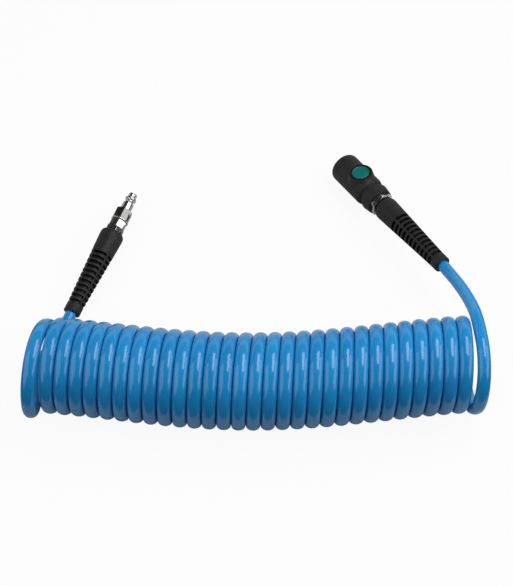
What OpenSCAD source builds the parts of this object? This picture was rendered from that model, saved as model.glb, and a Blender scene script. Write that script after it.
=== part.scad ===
// Coiled air hose: a blue polyurethane coil with a steel plug on one end and a
// push-button safety coupler, on a swivel, on the other. Millimetres, +Z up.
// The hose lies on the ground with its coil along X, and both fittings lie behind it.

/* [Hose and coil] */
// Outside diameter of the hose where it is round
hose_od = 12; // [11:0.1:12.2]
// Bore of the hose
hose_bore = 8; // [7:0.1:8.5]
// Whole turns in the coil
turns = 30; // [8:1:30]
// Distance from one turn to the next
coil_pitch = 13.9; // [13.8:0.1:18]
// Outside diameter of the coil
coil_od = 94; // [80:1:120]
// Width of the wound hose along the coil, which is pressed oval
wound_width = 13.2; // [12:0.1:13.2]
// Thickness of the wound hose across the coil
wound_thickness = 10.9; // [10:0.1:12]
// How far the ends of the coil bend back behind its middle
coil_bow = 18.9; // [0:0.1:20]
// Part of a turn that the last turn goes past the bottom
last_turn = 0.53; // [0.45:0.01:0.56]

/* [Bend sleeves] */
// Length of a sleeve
sleeve_length = 103; // [95:1:120]
// Diameter of a sleeve at its thick end
sleeve_od = 25.4; // [24:0.1:27]
// Diameter of a sleeve's flat face, inside its rounded shoulder
sleeve_face_od = 20; // [19:0.1:21]
// Diameter of a sleeve's cuff
cuff_od = 17.6; // [16:0.1:18]
// Length of the plain cuff
cuff_length = 9; // [8:0.5:13]
// Rows of slots along a sleeve
slot_rows = 11; // [4:1:11]
// Distance from one row of slots to the next
slot_pitch = 5.8; // [5:0.1:6]
// Width of a slot
slot_width = 2.9; // [1.5:0.1:3.2]
// Depth of the slots at the thick end
slot_depth = 2.6; // [1:0.1:2.8]
// Depth of the slots at the cuff
slot_depth_cuff = 1.6; // [0.8:0.1:1.7]
// Arc of a slot
slot_arc = 73; // [40:1:76]

/* [Plug] */
// Width across flats of the hose nut's flange
nut_flange_af = 17.5; // [17:0.5:18]
// Width across flats of the hose nut
nut_af = 16; // [14.5:0.5:16.5]
// Length of the nut's flange
nut_flange_length = 5; // [4:0.5:8]
// Length of the nut in front of its flange
nut_length = 9.7; // [6:0.1:12]
// Thickness of the sealing washer
washer_thickness = 1.8; // [0.8:0.1:2]
// Width across flats of the plug's hexagon
plug_af = 16.5; // [15.5:0.5:18]
// Length of the plug's hexagon
plug_hex_length = 11.5; // [10:0.1:16]
// Diameter of the plug's shank and its locking shoulder
plug_od = 11.9; // [11:0.1:12.5]
// Length of the plug's shank
shank_length = 11; // [9:0.1:11.5]
// Diameter of the locking groove
groove_od = 9; // [8:0.1:10]
// Width of the locking groove
groove_width = 2.6; // [2.4:0.1:3.2]
// Length of the locking shoulder
shoulder_length = 2; // [1.6:0.1:3]
// Diameter of the plug's tip
tip_od = 8.2; // [7.6:0.1:8.4]
// Length of the plug's tip
tip_length = 6.2; // [5:0.1:6.5]
// Bore of the plug and of the barbed tails
air_bore = 5.4; // [4:0.1:6]

/* [Coupler] */
// Outside diameter of the coupler's body
body_od = 32.5; // [31:0.5:36]
// Length of the coupler's body
body_length = 53.5; // [52:0.5:60]
// Diameter of the neck behind the body
neck_od = 26.6; // [26:0.1:28]
// Length of the neck
neck_length = 1.8; // [1.4:0.1:5]
// Diameter of the rear collar
collar_od = 31.5; // [30:0.5:32]
// Length of the rear collar
collar_length = 15.4; // [13:0.1:17]
// Width across flats of the tail piece
tail_af = 23; // [21.5:0.5:24]
// Length of the tail piece's hexagon
tail_hex_length = 5; // [3:0.5:8]
// Depth of the mouth in front of the metal socket
mouth_depth = 16.2; // [14:0.1:18]
// Diameter of the mouth
mouth_od = 22; // [20:0.5:23]
// Diameter of the metal socket
socket_od = 24; // [23.6:0.1:24.2]
// Clearance of the plug in the socket, on the radius
plug_clearance = 0.1; // [0.05:0.01:0.2]

/* [Release button] */
// Diameter of the button
button_od = 18.6; // [17:0.1:19.6]
// Travel of the button and the latch
button_travel = 2; // [1.5:0.1:2.2]
// Distance from the coupler's nose to the middle of the button
button_from_nose = 34; // [33.6:0.1:35]
// Diameter of the raised boss round the button
boss_od = 26; // [25:0.1:27]
// Height of the boss above the body
boss_height = 2.4; // [1.6:0.1:4]

/* [Fits] */
// Sliding clearance of shafts, on the radius
running_fit = 0.05; // [0.02:0.01:0.08]
// Clearance of pieces that are pressed or screwed together, on the radius
push_fit = 0.05; // [0.02:0.01:0.1]
// Gap between faces that turn or slide past each other
face_gap = 0.3; // [0.2:0.05:0.5]

/* [Hidden] */
$fn = 64;
eps = 0.01;

hose_blue = "#1f7fbf";
rubber_black = "#33312f";
nickel = "#c9c9c6";
brass = "#c8a24c";
teal = "#00786c";
seal_black = "#1b1b1b";
spring_steel = "#9a9da0";

// ---- Coil ----
rings_per_turn = 20;                      // sections along one turn
coil_sides = 6;                           // sides of a section
coil_flat = hose_od / 10;                 // cut off where the coil rests
coil_radius = (coil_od - wound_thickness) / 2;
coil_axis_z = coil_od / 2 - coil_flat;
coil_last = turns + last_turn;            // counted in turns from the start
coil_length = coil_pitch * turns;
coil_origin = [-1, -119.4];               // middle of the coil's axis, in plan
bow_angle = 143;                          // shape of the bend, in degrees
coil_yaw = 0.6;                           // slant of the middle turn, in degrees
coil_fan = 5.6;                           // how much the slant changes from end to end
start_out = 6.6;                          // the first turn opens outwards
start_forward = 7;                        // and forwards by this
end_out = 3.9;                            // the last turn does the same
end_forward = 3;
end_lean = 2.8;                           // and then leans back towards the coupler
end_lean_span = 0.2;                      // over this part of a turn
end_run = hose_od;                        // straight hose past each end of the coil
end_width = hose_od * 1.03;               // section where the coil ends
end_thickness = hose_od * 0.94;
step = 0.0005;                            // of a turn, for tangents

function unit(v) = v / norm(v);
function bow(x) =
    coil_bow * (1 - cos(bow_angle * x / (coil_length / 2))) / (1 - cos(bow_angle));
function turn_middle(t) =
    let(x = coil_pitch * (t - turns / 2),
        l = max(1 - t, 0),
        r = max(1 - (coil_last - t), 0),
        lean = max(1 - (coil_last - t) / end_lean_span, 0))
    [
        coil_origin.x + x - start_out * l * l + end_out * r * r - end_lean * lean * lean,
        coil_origin.y + bow(x) - start_forward * l - end_forward * r,
        coil_axis_z
    ];
function turn_yaw(t) = coil_yaw - coil_fan * (t / turns - 0.5);
function coil_point(t) =
    let(a = 180 - 360 * t, yaw = turn_yaw(t))
    turn_middle(t) + coil_radius * [-sin(a) * sin(yaw), -sin(a) * cos(yaw), cos(a)];
function coil_direction(t) = unit(coil_point(t + step) - coil_point(t - step));

function blend(k) = k * k * (3 - 2 * k);
function mix(a, b, k) = a + (b - a) * k;
function clamp(x, low, high) = min(max(x, low), high);
// How fully the hose is wound at t: 0 at both ends of the coil, 1 half a turn inside.
function wound(t) = blend(clamp(2 * min(t, coil_last - t), 0, 1));
function coil_width(t) = mix(end_width, wound_width, wound(t));
function coil_thickness(t) = mix(end_thickness, wound_thickness, wound(t));
// No point lies below the ground, so the hose is flat where it rests.
function grounded(p) = [p.x, p.y, max(p.z, 0)];
function across(v, direction) = unit(v - (v * direction) * direction);

// One section of the wound hose, moved by run along the hose.
function coil_ring(t, run = 0) =
    let(d = coil_direction(t),
        p = coil_point(t) + run * d,
        out = across(coil_point(t) - turn_middle(t), d),
        side = cross(d, out),
        w = coil_width(t) / 2,
        h = coil_thickness(t) / 2)
    [for (c = [[w, 0], [w / 2, h], [-w / 2, h], [-w, 0], [-w / 2, -h], [w / 2, -h]])
        grounded(p + c.x * side + c.y * out)];

coil_rings = concat(
    [coil_ring(0, -end_run), coil_ring(0, -end_run / 2), coil_ring(0)],
    [for (k = [0.5 : 1 : coil_last * rings_per_turn - 0.2]) coil_ring(k / rings_per_turn)],
    [coil_ring(coil_last), coil_ring(coil_last, end_run / 2), coil_ring(coil_last, end_run)]
);

// Least distance from any corner of a section to the sections one turn further on.
function ring_gap(a, b) = min([for (p = a, q = b) norm(p - q)]);
function least_gap(rings, turn) = min([
    for (i = [0 : len(rings) - turn - 1], j = [-1, 0, 1])
        if (i + turn + j < len(rings)) ring_gap(rings[i], rings[i + turn + j])
]);

// A closed tube through a list of sections that all have the same number of corners.
module tube(rings) {
    n = len(rings[0]);
    last = len(rings) - 1;
    polyhedron(
        points = [for (ring = rings, p = ring) p],
        faces = concat(
            [[for (j = [n - 1 : -1 : 0]) j]],
            [for (i = [0 : last - 1], j = [0 : n - 1], half = [0, 1])
                let(a = i * n + j, b = i * n + (j + 1) % n)
                half == 0 ? [a, b, b + n] : [a, b + n, a + n]],
            [[for (j = [0 : n - 1]) last * n + j]]
        )
    );
}

// ---- Free hose between the coil and the fittings ----
tail_sides = 12;
plug_heading = 21;                        // of the plug's axis, from +Y towards +X
coupler_heading = -32.9;
coil_start = coil_point(0) - end_run * coil_direction(0);
coil_end = coil_point(coil_last) + end_run * coil_direction(coil_last);
// Points of the hose past each end of the coil, measured from that end.
plug_route = [
    [0, 0, 0], [-0.2, 7, 0.4], [0.5, 14, 0.8], [2.6, 20.9, 1.1], [5.9, 27.3, 1.5], [9.6, 33.7, 1.9],
    [13.3, 40, 2.3], [16.9, 46.4, 2.7], [20.2, 53.3, 3.1], [23.1, 60.1, 3.6], [25.8, 66.9, 4.1],
    [28.3, 73.3, 4.5]
];
coupler_route = [
    [0, 0, 0], [-0.7, 9, -2], [-1.7, 17.9, -4.6], [-3, 26.7, -8], [-4.7, 35.5, -11.9],
    [-6.8, 44.3, -16], [-9.2, 53.1, -20.1], [-11.8, 61.4, -24], [-14.7, 69.6, -27.8],
    [-18.1, 77.9, -31.4], [-21.8, 85.8, -34.3], [-25.8, 93.7, -36.5]
];
plug_cuff = coil_start + plug_route[len(plug_route) - 1];
coupler_cuff = coil_end + coupler_route[len(coupler_route) - 1];

// The plug's sleeve rests on its cuff and its thick end, so its axis rises towards the plug.
slot_start = 29.6;                        // from the sleeve's face to its first row
cone_start = 8;
cone_length = sleeve_length - cuff_length - cone_start;
plug_rise = atan((sleeve_od - cuff_od) / 2 / (sleeve_length - cone_start));
plug_cuff_z = cuff_od / 2 / cos(plug_rise);
// The coupler's nose rests on the ground, at the round of its rim.
nose_round = 4;
neck_gap = 0.2;                           // between the collar and the neck
coupler_reach = sleeve_length + face_gap + tail_hex_length + collar_length + neck_length
    + body_length + neck_gap - nose_round;
nose_radius = body_od / 2 - nose_round;
coupler_fall = asin((coupler_cuff.z - nose_round) / norm([coupler_reach, nose_radius]))
    - atan(nose_radius / coupler_reach);

function heading_vec(heading, rise) =
    [sin(heading) * cos(rise), cos(heading) * cos(rise), sin(rise)];
plug_axis = heading_vec(plug_heading, plug_rise);
coupler_axis = heading_vec(coupler_heading, -coupler_fall);
plug_cuff_seat = [plug_cuff.x, plug_cuff.y, plug_cuff_z];

// Local frames: +Z runs along the fitting, away from the hose, from the sleeve's face.
module plug_frame() {
    translate(plug_cuff_seat + sleeve_length * plug_axis)
    rotate([0, 0, -plug_heading])
    rotate([plug_rise - 90, 0, 0])
    children();
}
module coupler_frame() {
    translate(coupler_cuff + sleeve_length * coupler_axis)
    rotate([0, 0, -coupler_heading])
    rotate([-coupler_fall - 90, 0, 0])
    children();
}

// Sections of a free stretch: its first and last lie square to what they meet.
function tail_ring(p, direction) =
    let(side = across([1, 0, 0], direction), up = cross(side, direction))
    [for (j = [0 : tail_sides - 1])
        let(a = 360 * j / tail_sides)
        grounded(p + hose_od / 2 * (cos(a) * side + sin(a) * up))];
function tail_rings(points, first, final) =
    let(last = len(points) - 1)
    [for (i = [0 : last])
        tail_ring(points[i],
            i == 0 ? first : i == last ? final : unit(points[i + 1] - points[i - 1]))];
plug_points = [
    for (i = [0 : len(plug_route) - 1])
        i < len(plug_route) - 1 ? coil_start + plug_route[i] : plug_cuff_seat
];
coupler_points = [for (p = coupler_route) coil_end + p];

// ---- Bend sleeves ----
shoulder = 5;                             // length of the sleeve's rounded shoulder
sleeve_slack = 0.2;                       // round the hose, on the radius
ferrule_od = hose_od + 4;
ferrule_length = 26;
ferrule_start = 34;                       // behind the sleeve's face
pocket_depth = 38;                        // of the wide bore that takes the ferrule
slot_columns = 4;
cuff_round = 0.6;
slot_reach = 2;                           // of the cut past the sleeve's surface
plug_slot_turn = 6.5;                     // how far each sleeve is turned on its axis
coupler_slot_turn = 9.6;

function arc_points(center, rx, ry, from, to, steps = 6) =
    [for (i = [0 : steps])
        let(a = mix(from, to, i / steps))
        [center.x + rx * cos(a), center.y + ry * sin(a)]];
// Outside radius of the sleeve at a depth behind its face.
function sleeve_radius(depth) =
    mix(sleeve_od, cuff_od, clamp((depth - cone_start) / cone_length, 0, 1)) / 2;

module sleeve(turned) {
    face_r = sleeve_face_od / 2;
    big_r = sleeve_od / 2;
    cuff_r = cuff_od / 2;
    hose_r = hose_od / 2 + sleeve_slack;
    pocket_r = ferrule_od / 2 + push_fit;
    first_slot = slot_start + slot_width / 2;
    color(rubber_black)
    rotate([0, 0, turned])
    difference() {
        rotate_extrude()
        polygon(concat(
            [[pocket_r, 0]],
            arc_points([face_r, -shoulder], big_r - face_r, shoulder, 90, 0),
            [[big_r, -cone_start]],
            [[cuff_r, -sleeve_length + cuff_length]],
            arc_points([cuff_r - cuff_round, cuff_round - sleeve_length],
                cuff_round, cuff_round, 0, -90, 3),
            [[hose_r, -sleeve_length], [hose_r, -pocket_depth], [pocket_r, -pocket_depth]]
        ));
        for (column = [0 : slot_columns - 1], row = [0 : slot_rows - 1])
            let(depth = first_slot + row * slot_pitch,
                cut = mix(slot_depth, slot_depth_cuff, row / max(slot_rows - 1, 1)),
                floor_r = sleeve_radius(depth) - cut)
            rotate([0, 0, column * 360 / slot_columns - slot_arc / 2])
            rotate_extrude(angle = slot_arc)
            translate([floor_r, -depth - slot_width / 2])
            square([cut + slot_reach, slot_width]);
    }
}

// ---- Hose ends, barbed tails and ferrules ----
hose_stop = 7;                            // the hose ends this far behind the sleeve's face
barb_length = 28;
barb_pitch = 5;
barb_rise = 0.7;
shank_od = 9;                             // of a barbed tail between the hose and its collar
crimp_depth = 0.5;
crimp_width = 2.4;
crimps = 3;

module hose_end() {
    color(hose_blue)
    difference() {
        translate([0, 0, -sleeve_length])
        cylinder(d = hose_od, h = sleeve_length - hose_stop);
        translate([0, 0, -sleeve_length - 1])
        cylinder(d = hose_bore, h = sleeve_length + 2);
    }
}

// Saw-toothed outline of a barbed tail that points into the hose, from its tip at z0.
function barb_outline(z0) =
    let(r = hose_bore / 2 - push_fit)
    concat(
        [for (i = [0 : floor(barb_length / barb_pitch) - 1])
            each [[r - barb_rise, z0 + i * barb_pitch], [r, z0 + (i + 0.7) * barb_pitch],
                [r - barb_rise, z0 + (i + 0.8) * barb_pitch]]],
        [[r - barb_rise, -hose_stop + push_fit]]
    );

module ferrule() {
    r = ferrule_od / 2;
    color(brass)
    rotate_extrude()
    difference() {
        translate([hose_od / 2 + push_fit, -ferrule_start])
        square([r - hose_od / 2 - push_fit, ferrule_length]);
        for (i = [1 : crimps])
            let(z = i * ferrule_length / (crimps + 1) - ferrule_start)
            translate([r - crimp_depth, z - crimp_width / 2])
            square([crimp_depth + 1, crimp_width]);
    }
}

// A hexagonal bar from z0 to z1 with its corners turned off at each end by a depth.
module hex_bar(af, z0, z1, chamfer0, chamfer1) {
    corner = af / sqrt(3);
    flat = af / 2;
    intersection() {
        translate([0, 0, z0])
        cylinder(r = corner, h = z1 - z0, $fn = 6);
        rotate_extrude()
        polygon([[0, z0], [corner - chamfer0 * 1.7, z0], [corner + eps, z0 + chamfer0],
            [corner + eps, z1 - chamfer1], [corner - chamfer1 * 1.7, z1], [0, z1]]);
    }
}

// ---- Plug ----
nut_spigot = 5;                           // of the nut, inside the sleeve
nut_end = nut_flange_length + nut_length;
thread_od = 13.1;                         // where the plug screws into the nut
thread_start = 2.4;
flange_turn = -8;                         // how far each hexagon is turned on the axis
plug_turn = -18;
collar_thickness = 3;                     // of the barbed tail's collar, inside the nut
barb_collar_od = 12.6;
plug_start = nut_end + washer_thickness;
hex_end = plug_start + plug_hex_length;
shank_end = hex_end + shank_length;
groove_end = shank_end + groove_width;
shoulder_end = groove_end + shoulder_length;
plug_end = shoulder_end + tip_length;

module hose_nut() {
    color(nickel)
    difference() {
        union() {
            translate([0, 0, -nut_spigot])
            cylinder(d = ferrule_od - 0.4, h = nut_spigot + 1);
            rotate([0, 0, flange_turn])
            hex_bar(nut_flange_af, 0, nut_flange_length, 0.4, 1.1);
            rotate([0, 0, plug_turn])
            hex_bar(nut_af, nut_flange_length - 1, nut_end, 0.2, 1.4);
        }
        translate([0, 0, -nut_spigot - 1])
        cylinder(d = shank_od + 2 * push_fit, h = nut_spigot + nut_end);
        translate([0, 0, -collar_thickness + 0.8])
        cylinder(d = thread_od + 2 * push_fit, h = nut_end + collar_thickness);
    }
}

module plug_hose_barb() {
    top = thread_start - 0.1;
    color(brass)
    rotate_extrude()
    polygon(concat(
        [[air_bore / 2, -hose_stop - barb_length + 0.7]],
        barb_outline(-hose_stop - barb_length + 0.7),
        [[shank_od / 2, -hose_stop + push_fit], [shank_od / 2, -collar_thickness + 0.9],
            [barb_collar_od / 2, -collar_thickness + 0.9], [barb_collar_od / 2, top],
            [air_bore / 2, top]]
    ));
}

module plug_seal_washer() {
    color(brass)
    difference() {
        translate([0, 0, nut_end])
        cylinder(d = nut_af * 1.17, h = washer_thickness);
        translate([0, 0, nut_end - 1])
        cylinder(d = thread_od + 2 * push_fit, h = washer_thickness + 2);
    }
}

module plug_body() {
    shank_r = plug_od / 2;
    groove_r = groove_od / 2;
    tip_r = tip_od / 2;
    tip_round = 0.7;
    edge = 0.5;
    color(nickel)
    difference() {
        union() {
            rotate([0, 0, plug_turn])
            hex_bar(plug_af, plug_start, hex_end, 0.7, 1.1);
            rotate_extrude()
            polygon(concat(
                [[0, thread_start], [thread_od / 2, thread_start], [thread_od / 2, plug_start + 1],
                    [shank_r, plug_start + 1], [shank_r, shank_end - edge], [shank_r - edge, shank_end],
                    [groove_r, shank_end], [groove_r, groove_end - 0.4],
                    [shank_r - edge, groove_end], [shank_r, groove_end + edge / 2],
                    [shank_r, shoulder_end - edge], [shank_r - edge, shoulder_end]],
                [[tip_r, shoulder_end + 0.8]],
                arc_points([tip_r - tip_round, plug_end - tip_round], tip_round, tip_round, 0, 90, 3),
                [[0, plug_end]]
            ));
        }
        translate([0, 0, thread_start - 1])
        cylinder(d = air_bore, h = plug_end);
    }
}

// ---- Coupler: places along its axis ----
hex_start = face_gap;
hex_top = hex_start + tail_hex_length;
collar_top = hex_top + collar_length;
neck_start = collar_top + neck_gap;
body_start = neck_start + neck_length;
nose = body_start + body_length;
socket_front = nose - mouth_depth;
socket_back = neck_start + 0.1;
button_z = nose - button_from_nose;
journal_od = 11.9;                        // of the swivel stem
stem_collar_od = ferrule_od - 0.4;
tail_bore = journal_od + 2 * running_fit;
chamber_start = 13;                       // the tail piece opens out here, for the ring
chamber_od = 13.8;
spring_step = collar_top + 1.9;           // where the valve spring sits
spring_bore = 16.6;
tail_thread_od = 20;
tail_front = collar_top + 8;
tail_turn = 21;                           // how far the tail's hexagon is turned on the axis
ring_thickness = 1.2;
ring_start = chamber_start + face_gap;
ring_groove_od = 10.2;
seal_z = 7;                               // of the stem's seal
seal_section = 1.7;
seal_groove = 2.2;
valve_od = 17;                            // bore of the valve chamber
tip_press = 0.9;                          // the plug's tip ends this far short of the seat
valve_face = socket_front - (plug_end - hex_end) + tip_press;
seal_pocket_od = 15;
seal_pocket_end = socket_front - (shoulder_end - hex_end) + 0.6;
plug_bore = plug_od + 2 * plug_clearance;
tip_bore = tip_od + 0.3;
latch_z = socket_front - shank_length - groove_width / 2;
latch_thickness = 2;
latch_gap = 0.2;                          // on each side of the latch in its slot
latch_hole = plug_bore + 0.3;
latch_ring = 2.3;                         // width of the latch round its hole
latch_od = latch_hole + 2 * latch_ring;
latch_neck = 10;
button_under = body_od / 2 - 1;           // height of the button's underside over the axis
button_top = body_od / 2 + boss_height + 0.8;
button_gap = 0.2;                         // round the button
boss_round = 1.2;
rim_od = boss_od - 2 * boss_round;
rim_height = 0.6;
spring_pocket_od = 8;
spring_pocket_floor = button_under - 4.8;
button_spring_z = button_z - 4;

// The button and the latch slide along local -Y, which points up.
module button_frame(z) {
    translate([0, 0, z])
    rotate([90, 0, 0])
    children();
}

module coupler_stem() {
    r = journal_od / 2;
    top = ring_start + ring_thickness + 1.4;
    seal_r = r - seal_section;
    ring_r = ring_groove_od / 2;
    color(brass)
    rotate_extrude()
    polygon(concat(
        [[air_bore / 2, -hose_stop - barb_length + 0.7]],
        barb_outline(-hose_stop - barb_length + 0.7),
        [[stem_collar_od / 2, -hose_stop + push_fit], [stem_collar_od / 2, -0.2], [r, -0.2],
            [r, seal_z - seal_groove / 2], [seal_r, seal_z - seal_groove / 2],
            [seal_r, seal_z + seal_groove / 2], [r, seal_z + seal_groove / 2],
            [r, ring_start - 0.1], [ring_r, ring_start - 0.1],
            [ring_r, ring_start + ring_thickness + 0.1], [r, ring_start + ring_thickness + 0.1],
            [r, top - 0.4], [r - 0.4, top], [air_bore / 2, top]]
    ));
}

module stem_seal() {
    color(seal_black)
    translate([0, 0, seal_z])
    rotate_extrude()
    translate([journal_od / 2 - seal_section / 2, 0])
    circle(d = seal_section - 2 * eps, $fn = 24);
}

module retaining_ring() {
    color(spring_steel)
    difference() {
        translate([0, 0, ring_start])
        cylinder(d = chamber_od - 0.4, h = ring_thickness);
        translate([0, 0, ring_start - 1])
        cylinder(d = ring_groove_od + 2 * push_fit, h = ring_thickness + 2);
        translate([-1.2, 0, ring_start - 1])
        cube([2.4, chamber_od, ring_thickness + 2]);
    }
}

module tail_hex() {
    color(nickel)
    difference() {
        union() {
            rotate([0, 0, tail_turn])
            hex_bar(tail_af, hex_start, hex_top, 1, 0.2);
            translate([0, 0, hex_top - 1])
            cylinder(d = tail_thread_od, h = tail_front - hex_top + 1);
        }
        translate([0, 0, -1])
        cylinder(d = tail_bore, h = tail_front + 2);
        translate([0, 0, chamber_start])
        cylinder(d = chamber_od, h = tail_front);
        translate([0, 0, spring_step])
        cylinder(d = spring_bore, h = tail_front);
    }
}

module rear_collar() {
    r = collar_od / 2;
    neck_r = neck_od / 2;
    front = 4;                            // length of the rounded front edge
    narrowing = 1.1;                      // of the radius towards the rear
    inner = tail_thread_od / 2 + push_fit;
    color(rubber_black)
    rotate_extrude()
    polygon(concat(
        [[inner, hex_top + 0.1]],
        arc_points([r - narrowing - 1, hex_top + 1.1], 1, 1, -90, 0, 4),
        arc_points([neck_r, collar_top - front], r - neck_r, front, 0, 90),
        [[inner, collar_top]]
    ));
}

// Outline of the coupler's body with its mouth, turned about its axis.
module body_outline() {
    r = body_od / 2;
    neck_r = neck_od / 2;
    shoulder_length = 7;                  // of the rounded rear shoulder
    mouth_r = mouth_od / 2;
    polygon(concat(
        [[0, neck_start], [neck_r - 0.5, neck_start], [neck_r, neck_start + 0.5]],
        arc_points([neck_r, body_start + shoulder_length], r - neck_r, shoulder_length, -90, 0, 7),
        arc_points([r - nose_round, nose - nose_round], nose_round, nose_round, 0, 90, 6),
        arc_points([mouth_r + 1, nose - 1], 1, 1, 90, 180, 3),
        [[mouth_r, socket_front - 1], [0, socket_front - 1]]
    ));
}

module coupler_body() {
    boss_r = boss_od / 2;
    boss_top = body_od / 2 + boss_height;
    boss_foot = 6;
    foot_spread = 1.6;
    color(rubber_black)
    difference() {
        union() {
            rotate_extrude()
            body_outline();
            button_frame(button_z)
            rotate_extrude()
            polygon(concat(
                [[0, boss_foot], [boss_r + foot_spread, boss_foot],
                    [boss_r + foot_spread * 0.6, body_od / 2 - 4], [boss_r + 0.3, body_od / 2 - 1]],
                arc_points([boss_r - boss_round, boss_top - boss_round],
                    boss_round, boss_round, 0, 90, 4),
                [[0, boss_top]]
            ));
        }
        translate([0, 0, neck_start - 1])
        cylinder(d = socket_od + 2 * push_fit, h = socket_front - neck_start + 1);
        button_frame(button_z)
        cylinder(d = button_od + 2 * button_gap, h = body_od);
    }
}

module socket_sleeve() {
    color(nickel)
    difference() {
        rotate_extrude()
        polygon([
            [tail_thread_od / 2 + push_fit, socket_back], [socket_od / 2, socket_back],
            [socket_od / 2, socket_front - 0.1], [plug_bore / 2 + 0.8, socket_front - 0.1],
            [plug_bore / 2, socket_front - 0.9], [plug_bore / 2, seal_pocket_end],
            [seal_pocket_od / 2, seal_pocket_end], [seal_pocket_od / 2, valve_face],
            [valve_od / 2, valve_face], [valve_od / 2, tail_front + 0.1],
            [tail_thread_od / 2 + push_fit, tail_front + 0.1]
        ]);
        translate([-latch_od / 2 - latch_gap, -socket_od, latch_z - latch_thickness / 2 - latch_gap])
        cube([latch_od + 2 * latch_gap, socket_od + latch_od / 2 + 0.3,
            latch_thickness + 2 * latch_gap]);
        button_frame(button_spring_z)
        translate([0, 0, spring_pocket_floor])
        cylinder(d = spring_pocket_od, h = socket_od);
    }
}

module locking_slide() {
    neck_top = button_under - 0.1;
    color(spring_steel)
    translate([0, 0, latch_z - latch_thickness / 2])
    difference() {
        union() {
            translate([0, -button_travel + 0.1, 0])
            cylinder(d = latch_od, h = latch_thickness);
            translate([-latch_neck / 2, -neck_top, 0])
            cube([latch_neck, neck_top - latch_hole / 2, latch_thickness]);
        }
        translate([0, -button_travel + 0.1, -1])
        cylinder(d = latch_hole, h = latch_thickness + 2);
    }
}

module button_rim() {
    base = body_od / 2 + boss_height;
    color(seal_black)
    button_frame(button_z)
    rotate_extrude()
    polygon([
        [button_od / 2 + button_gap + 0.1, base], [rim_od / 2, base],
        [rim_od / 2 - 0.5, base + rim_height], [button_od / 2 + button_gap + 0.3, base + rim_height]
    ]);
}

module release_button() {
    r = button_od / 2;
    dish = 0.9;
    dish_radius = 55;
    skirt_wall = 1.6;
    color(teal)
    button_frame(button_z)
    difference() {
        rotate_extrude()
        polygon(concat(
            [[0, button_under], [r, button_under]],
            arc_points([r - 0.8, button_top - 0.8], 0.8, 0.8, 0, 90, 4),
            [[0, button_top]]
        ));
        translate([0, 0, button_top - dish + dish_radius])
        sphere(r = dish_radius, $fn = 96);
        translate([0, button_spring_z - button_z, button_under - 1])
        cylinder(d = spring_pocket_od, h = 1 + skirt_wall);
    }
}

module lip_seal() {
    color(seal_black)
    rotate_extrude()
    polygon([
        [tip_bore / 2, valve_face + 2.6], [seal_pocket_od / 2 - push_fit, valve_face + 2.3],
        [seal_pocket_od / 2 - push_fit, seal_pocket_end - 0.1],
        [tip_bore / 2 + 1.6, seal_pocket_end - 0.1],
        [tip_bore / 2, seal_pocket_end - 1.9]
    ]);
}

module valve_seal() {
    color(seal_black)
    difference() {
        translate([0, 0, valve_face])
        cylinder(d = seal_pocket_od - 2 * push_fit, h = 2.2);
        translate([0, 0, valve_face - 1])
        cylinder(d = tip_bore + 0.8, h = 5);
    }
}

// ---- Valve and springs ----
poppet_face = valve_face - 0.1;
skirt_length = 3.4;                       // of the poppet's guide
skirt_base = poppet_face - 2 - skirt_length;
guide_width = 14;                         // across the flats that let air past the guide
poppet_disc = 6.4;
poppet_nose = 3.4;
nose_end = poppet_face + 3.6;
spring_sides = 6;
spring_steps = 8;                         // sections along one curl
spring_wire = 1.3;
valve_spring_od = spring_bore - 0.3;
button_wire = 0.8;
button_spring_od = spring_pocket_od - 0.6;

module valve_poppet() {
    spring_inner = (valve_spring_od - spring_wire) / 2 * cos(180 / spring_steps) - spring_wire / 2;
    boss_r = spring_inner - 0.3;
    color(brass)
    union() {
        intersection() {
            translate([0, 0, skirt_base])
            cylinder(r = valve_od / 2 - running_fit, h = skirt_length);
            translate([-guide_width / 2, -guide_width / 2, skirt_base])
            cube([guide_width, guide_width, skirt_length]);
        }
        rotate_extrude()
        polygon([
            [0, skirt_base - 2.4], [boss_r - 0.4, skirt_base - 2.4],
            [boss_r, skirt_base - 2], [boss_r, skirt_base],
            [poppet_disc, poppet_face - 2.5], [poppet_disc, poppet_face], [poppet_nose, poppet_face],
            [poppet_nose, nose_end - 0.6], [poppet_nose - 0.6, nose_end], [0, nose_end]
        ]);
    }
}

// A compression spring from z0 to z1: one faceted wire, flat to its seats at both ends.
function spring_rings(od, wire, z0, z1, curls) =
    let(r = (od - wire) / 2, low = z0 + wire / 2, high = z1 - wire / 2)
    [for (i = [0 : curls * spring_steps])
        let(u = i / (curls * spring_steps),
            a = 360 * i / spring_steps,
            p = [r * cos(a), r * sin(a), mix(low, high, u)],
            d = unit([-r * sin(a) * 2 * PI * curls, r * cos(a) * 2 * PI * curls, high - low]),
            out = [cos(a), sin(a), 0],
            up = cross(out, d))
        [for (j = [0 : spring_sides - 1])
            let(b = 360 * j / spring_sides)
            p + wire / 2 * (cos(b) * out - sin(b) * up)]];

module valve_spring() {
    rings = spring_rings(valve_spring_od, spring_wire, spring_step + 0.1, skirt_base - 0.1, 4);
    echo("least gap of the valve spring to itself", least_gap(rings, spring_steps));
    color(spring_steel)
    tube(rings);
}

module button_spring() {
    rings = spring_rings(button_spring_od, button_wire, spring_pocket_floor + 0.1,
        button_under + 1.6 - 0.1, 3);
    echo("least gap of the button spring to itself", least_gap(rings, spring_steps));
    color(spring_steel)
    button_frame(button_spring_z)
    tube(rings);
}

module hose_coil() {
    echo("least gap of the coil to itself", least_gap(coil_rings, rings_per_turn));
    color(hose_blue)
    tube(coil_rings);
}
module plug_tail() {
    color(hose_blue)
    tube(tail_rings(plug_points, -coil_direction(0), plug_axis));
}
module coupler_tail() {
    color(hose_blue)
    tube(tail_rings(coupler_points, coil_direction(coil_last), coupler_axis));
}

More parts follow.
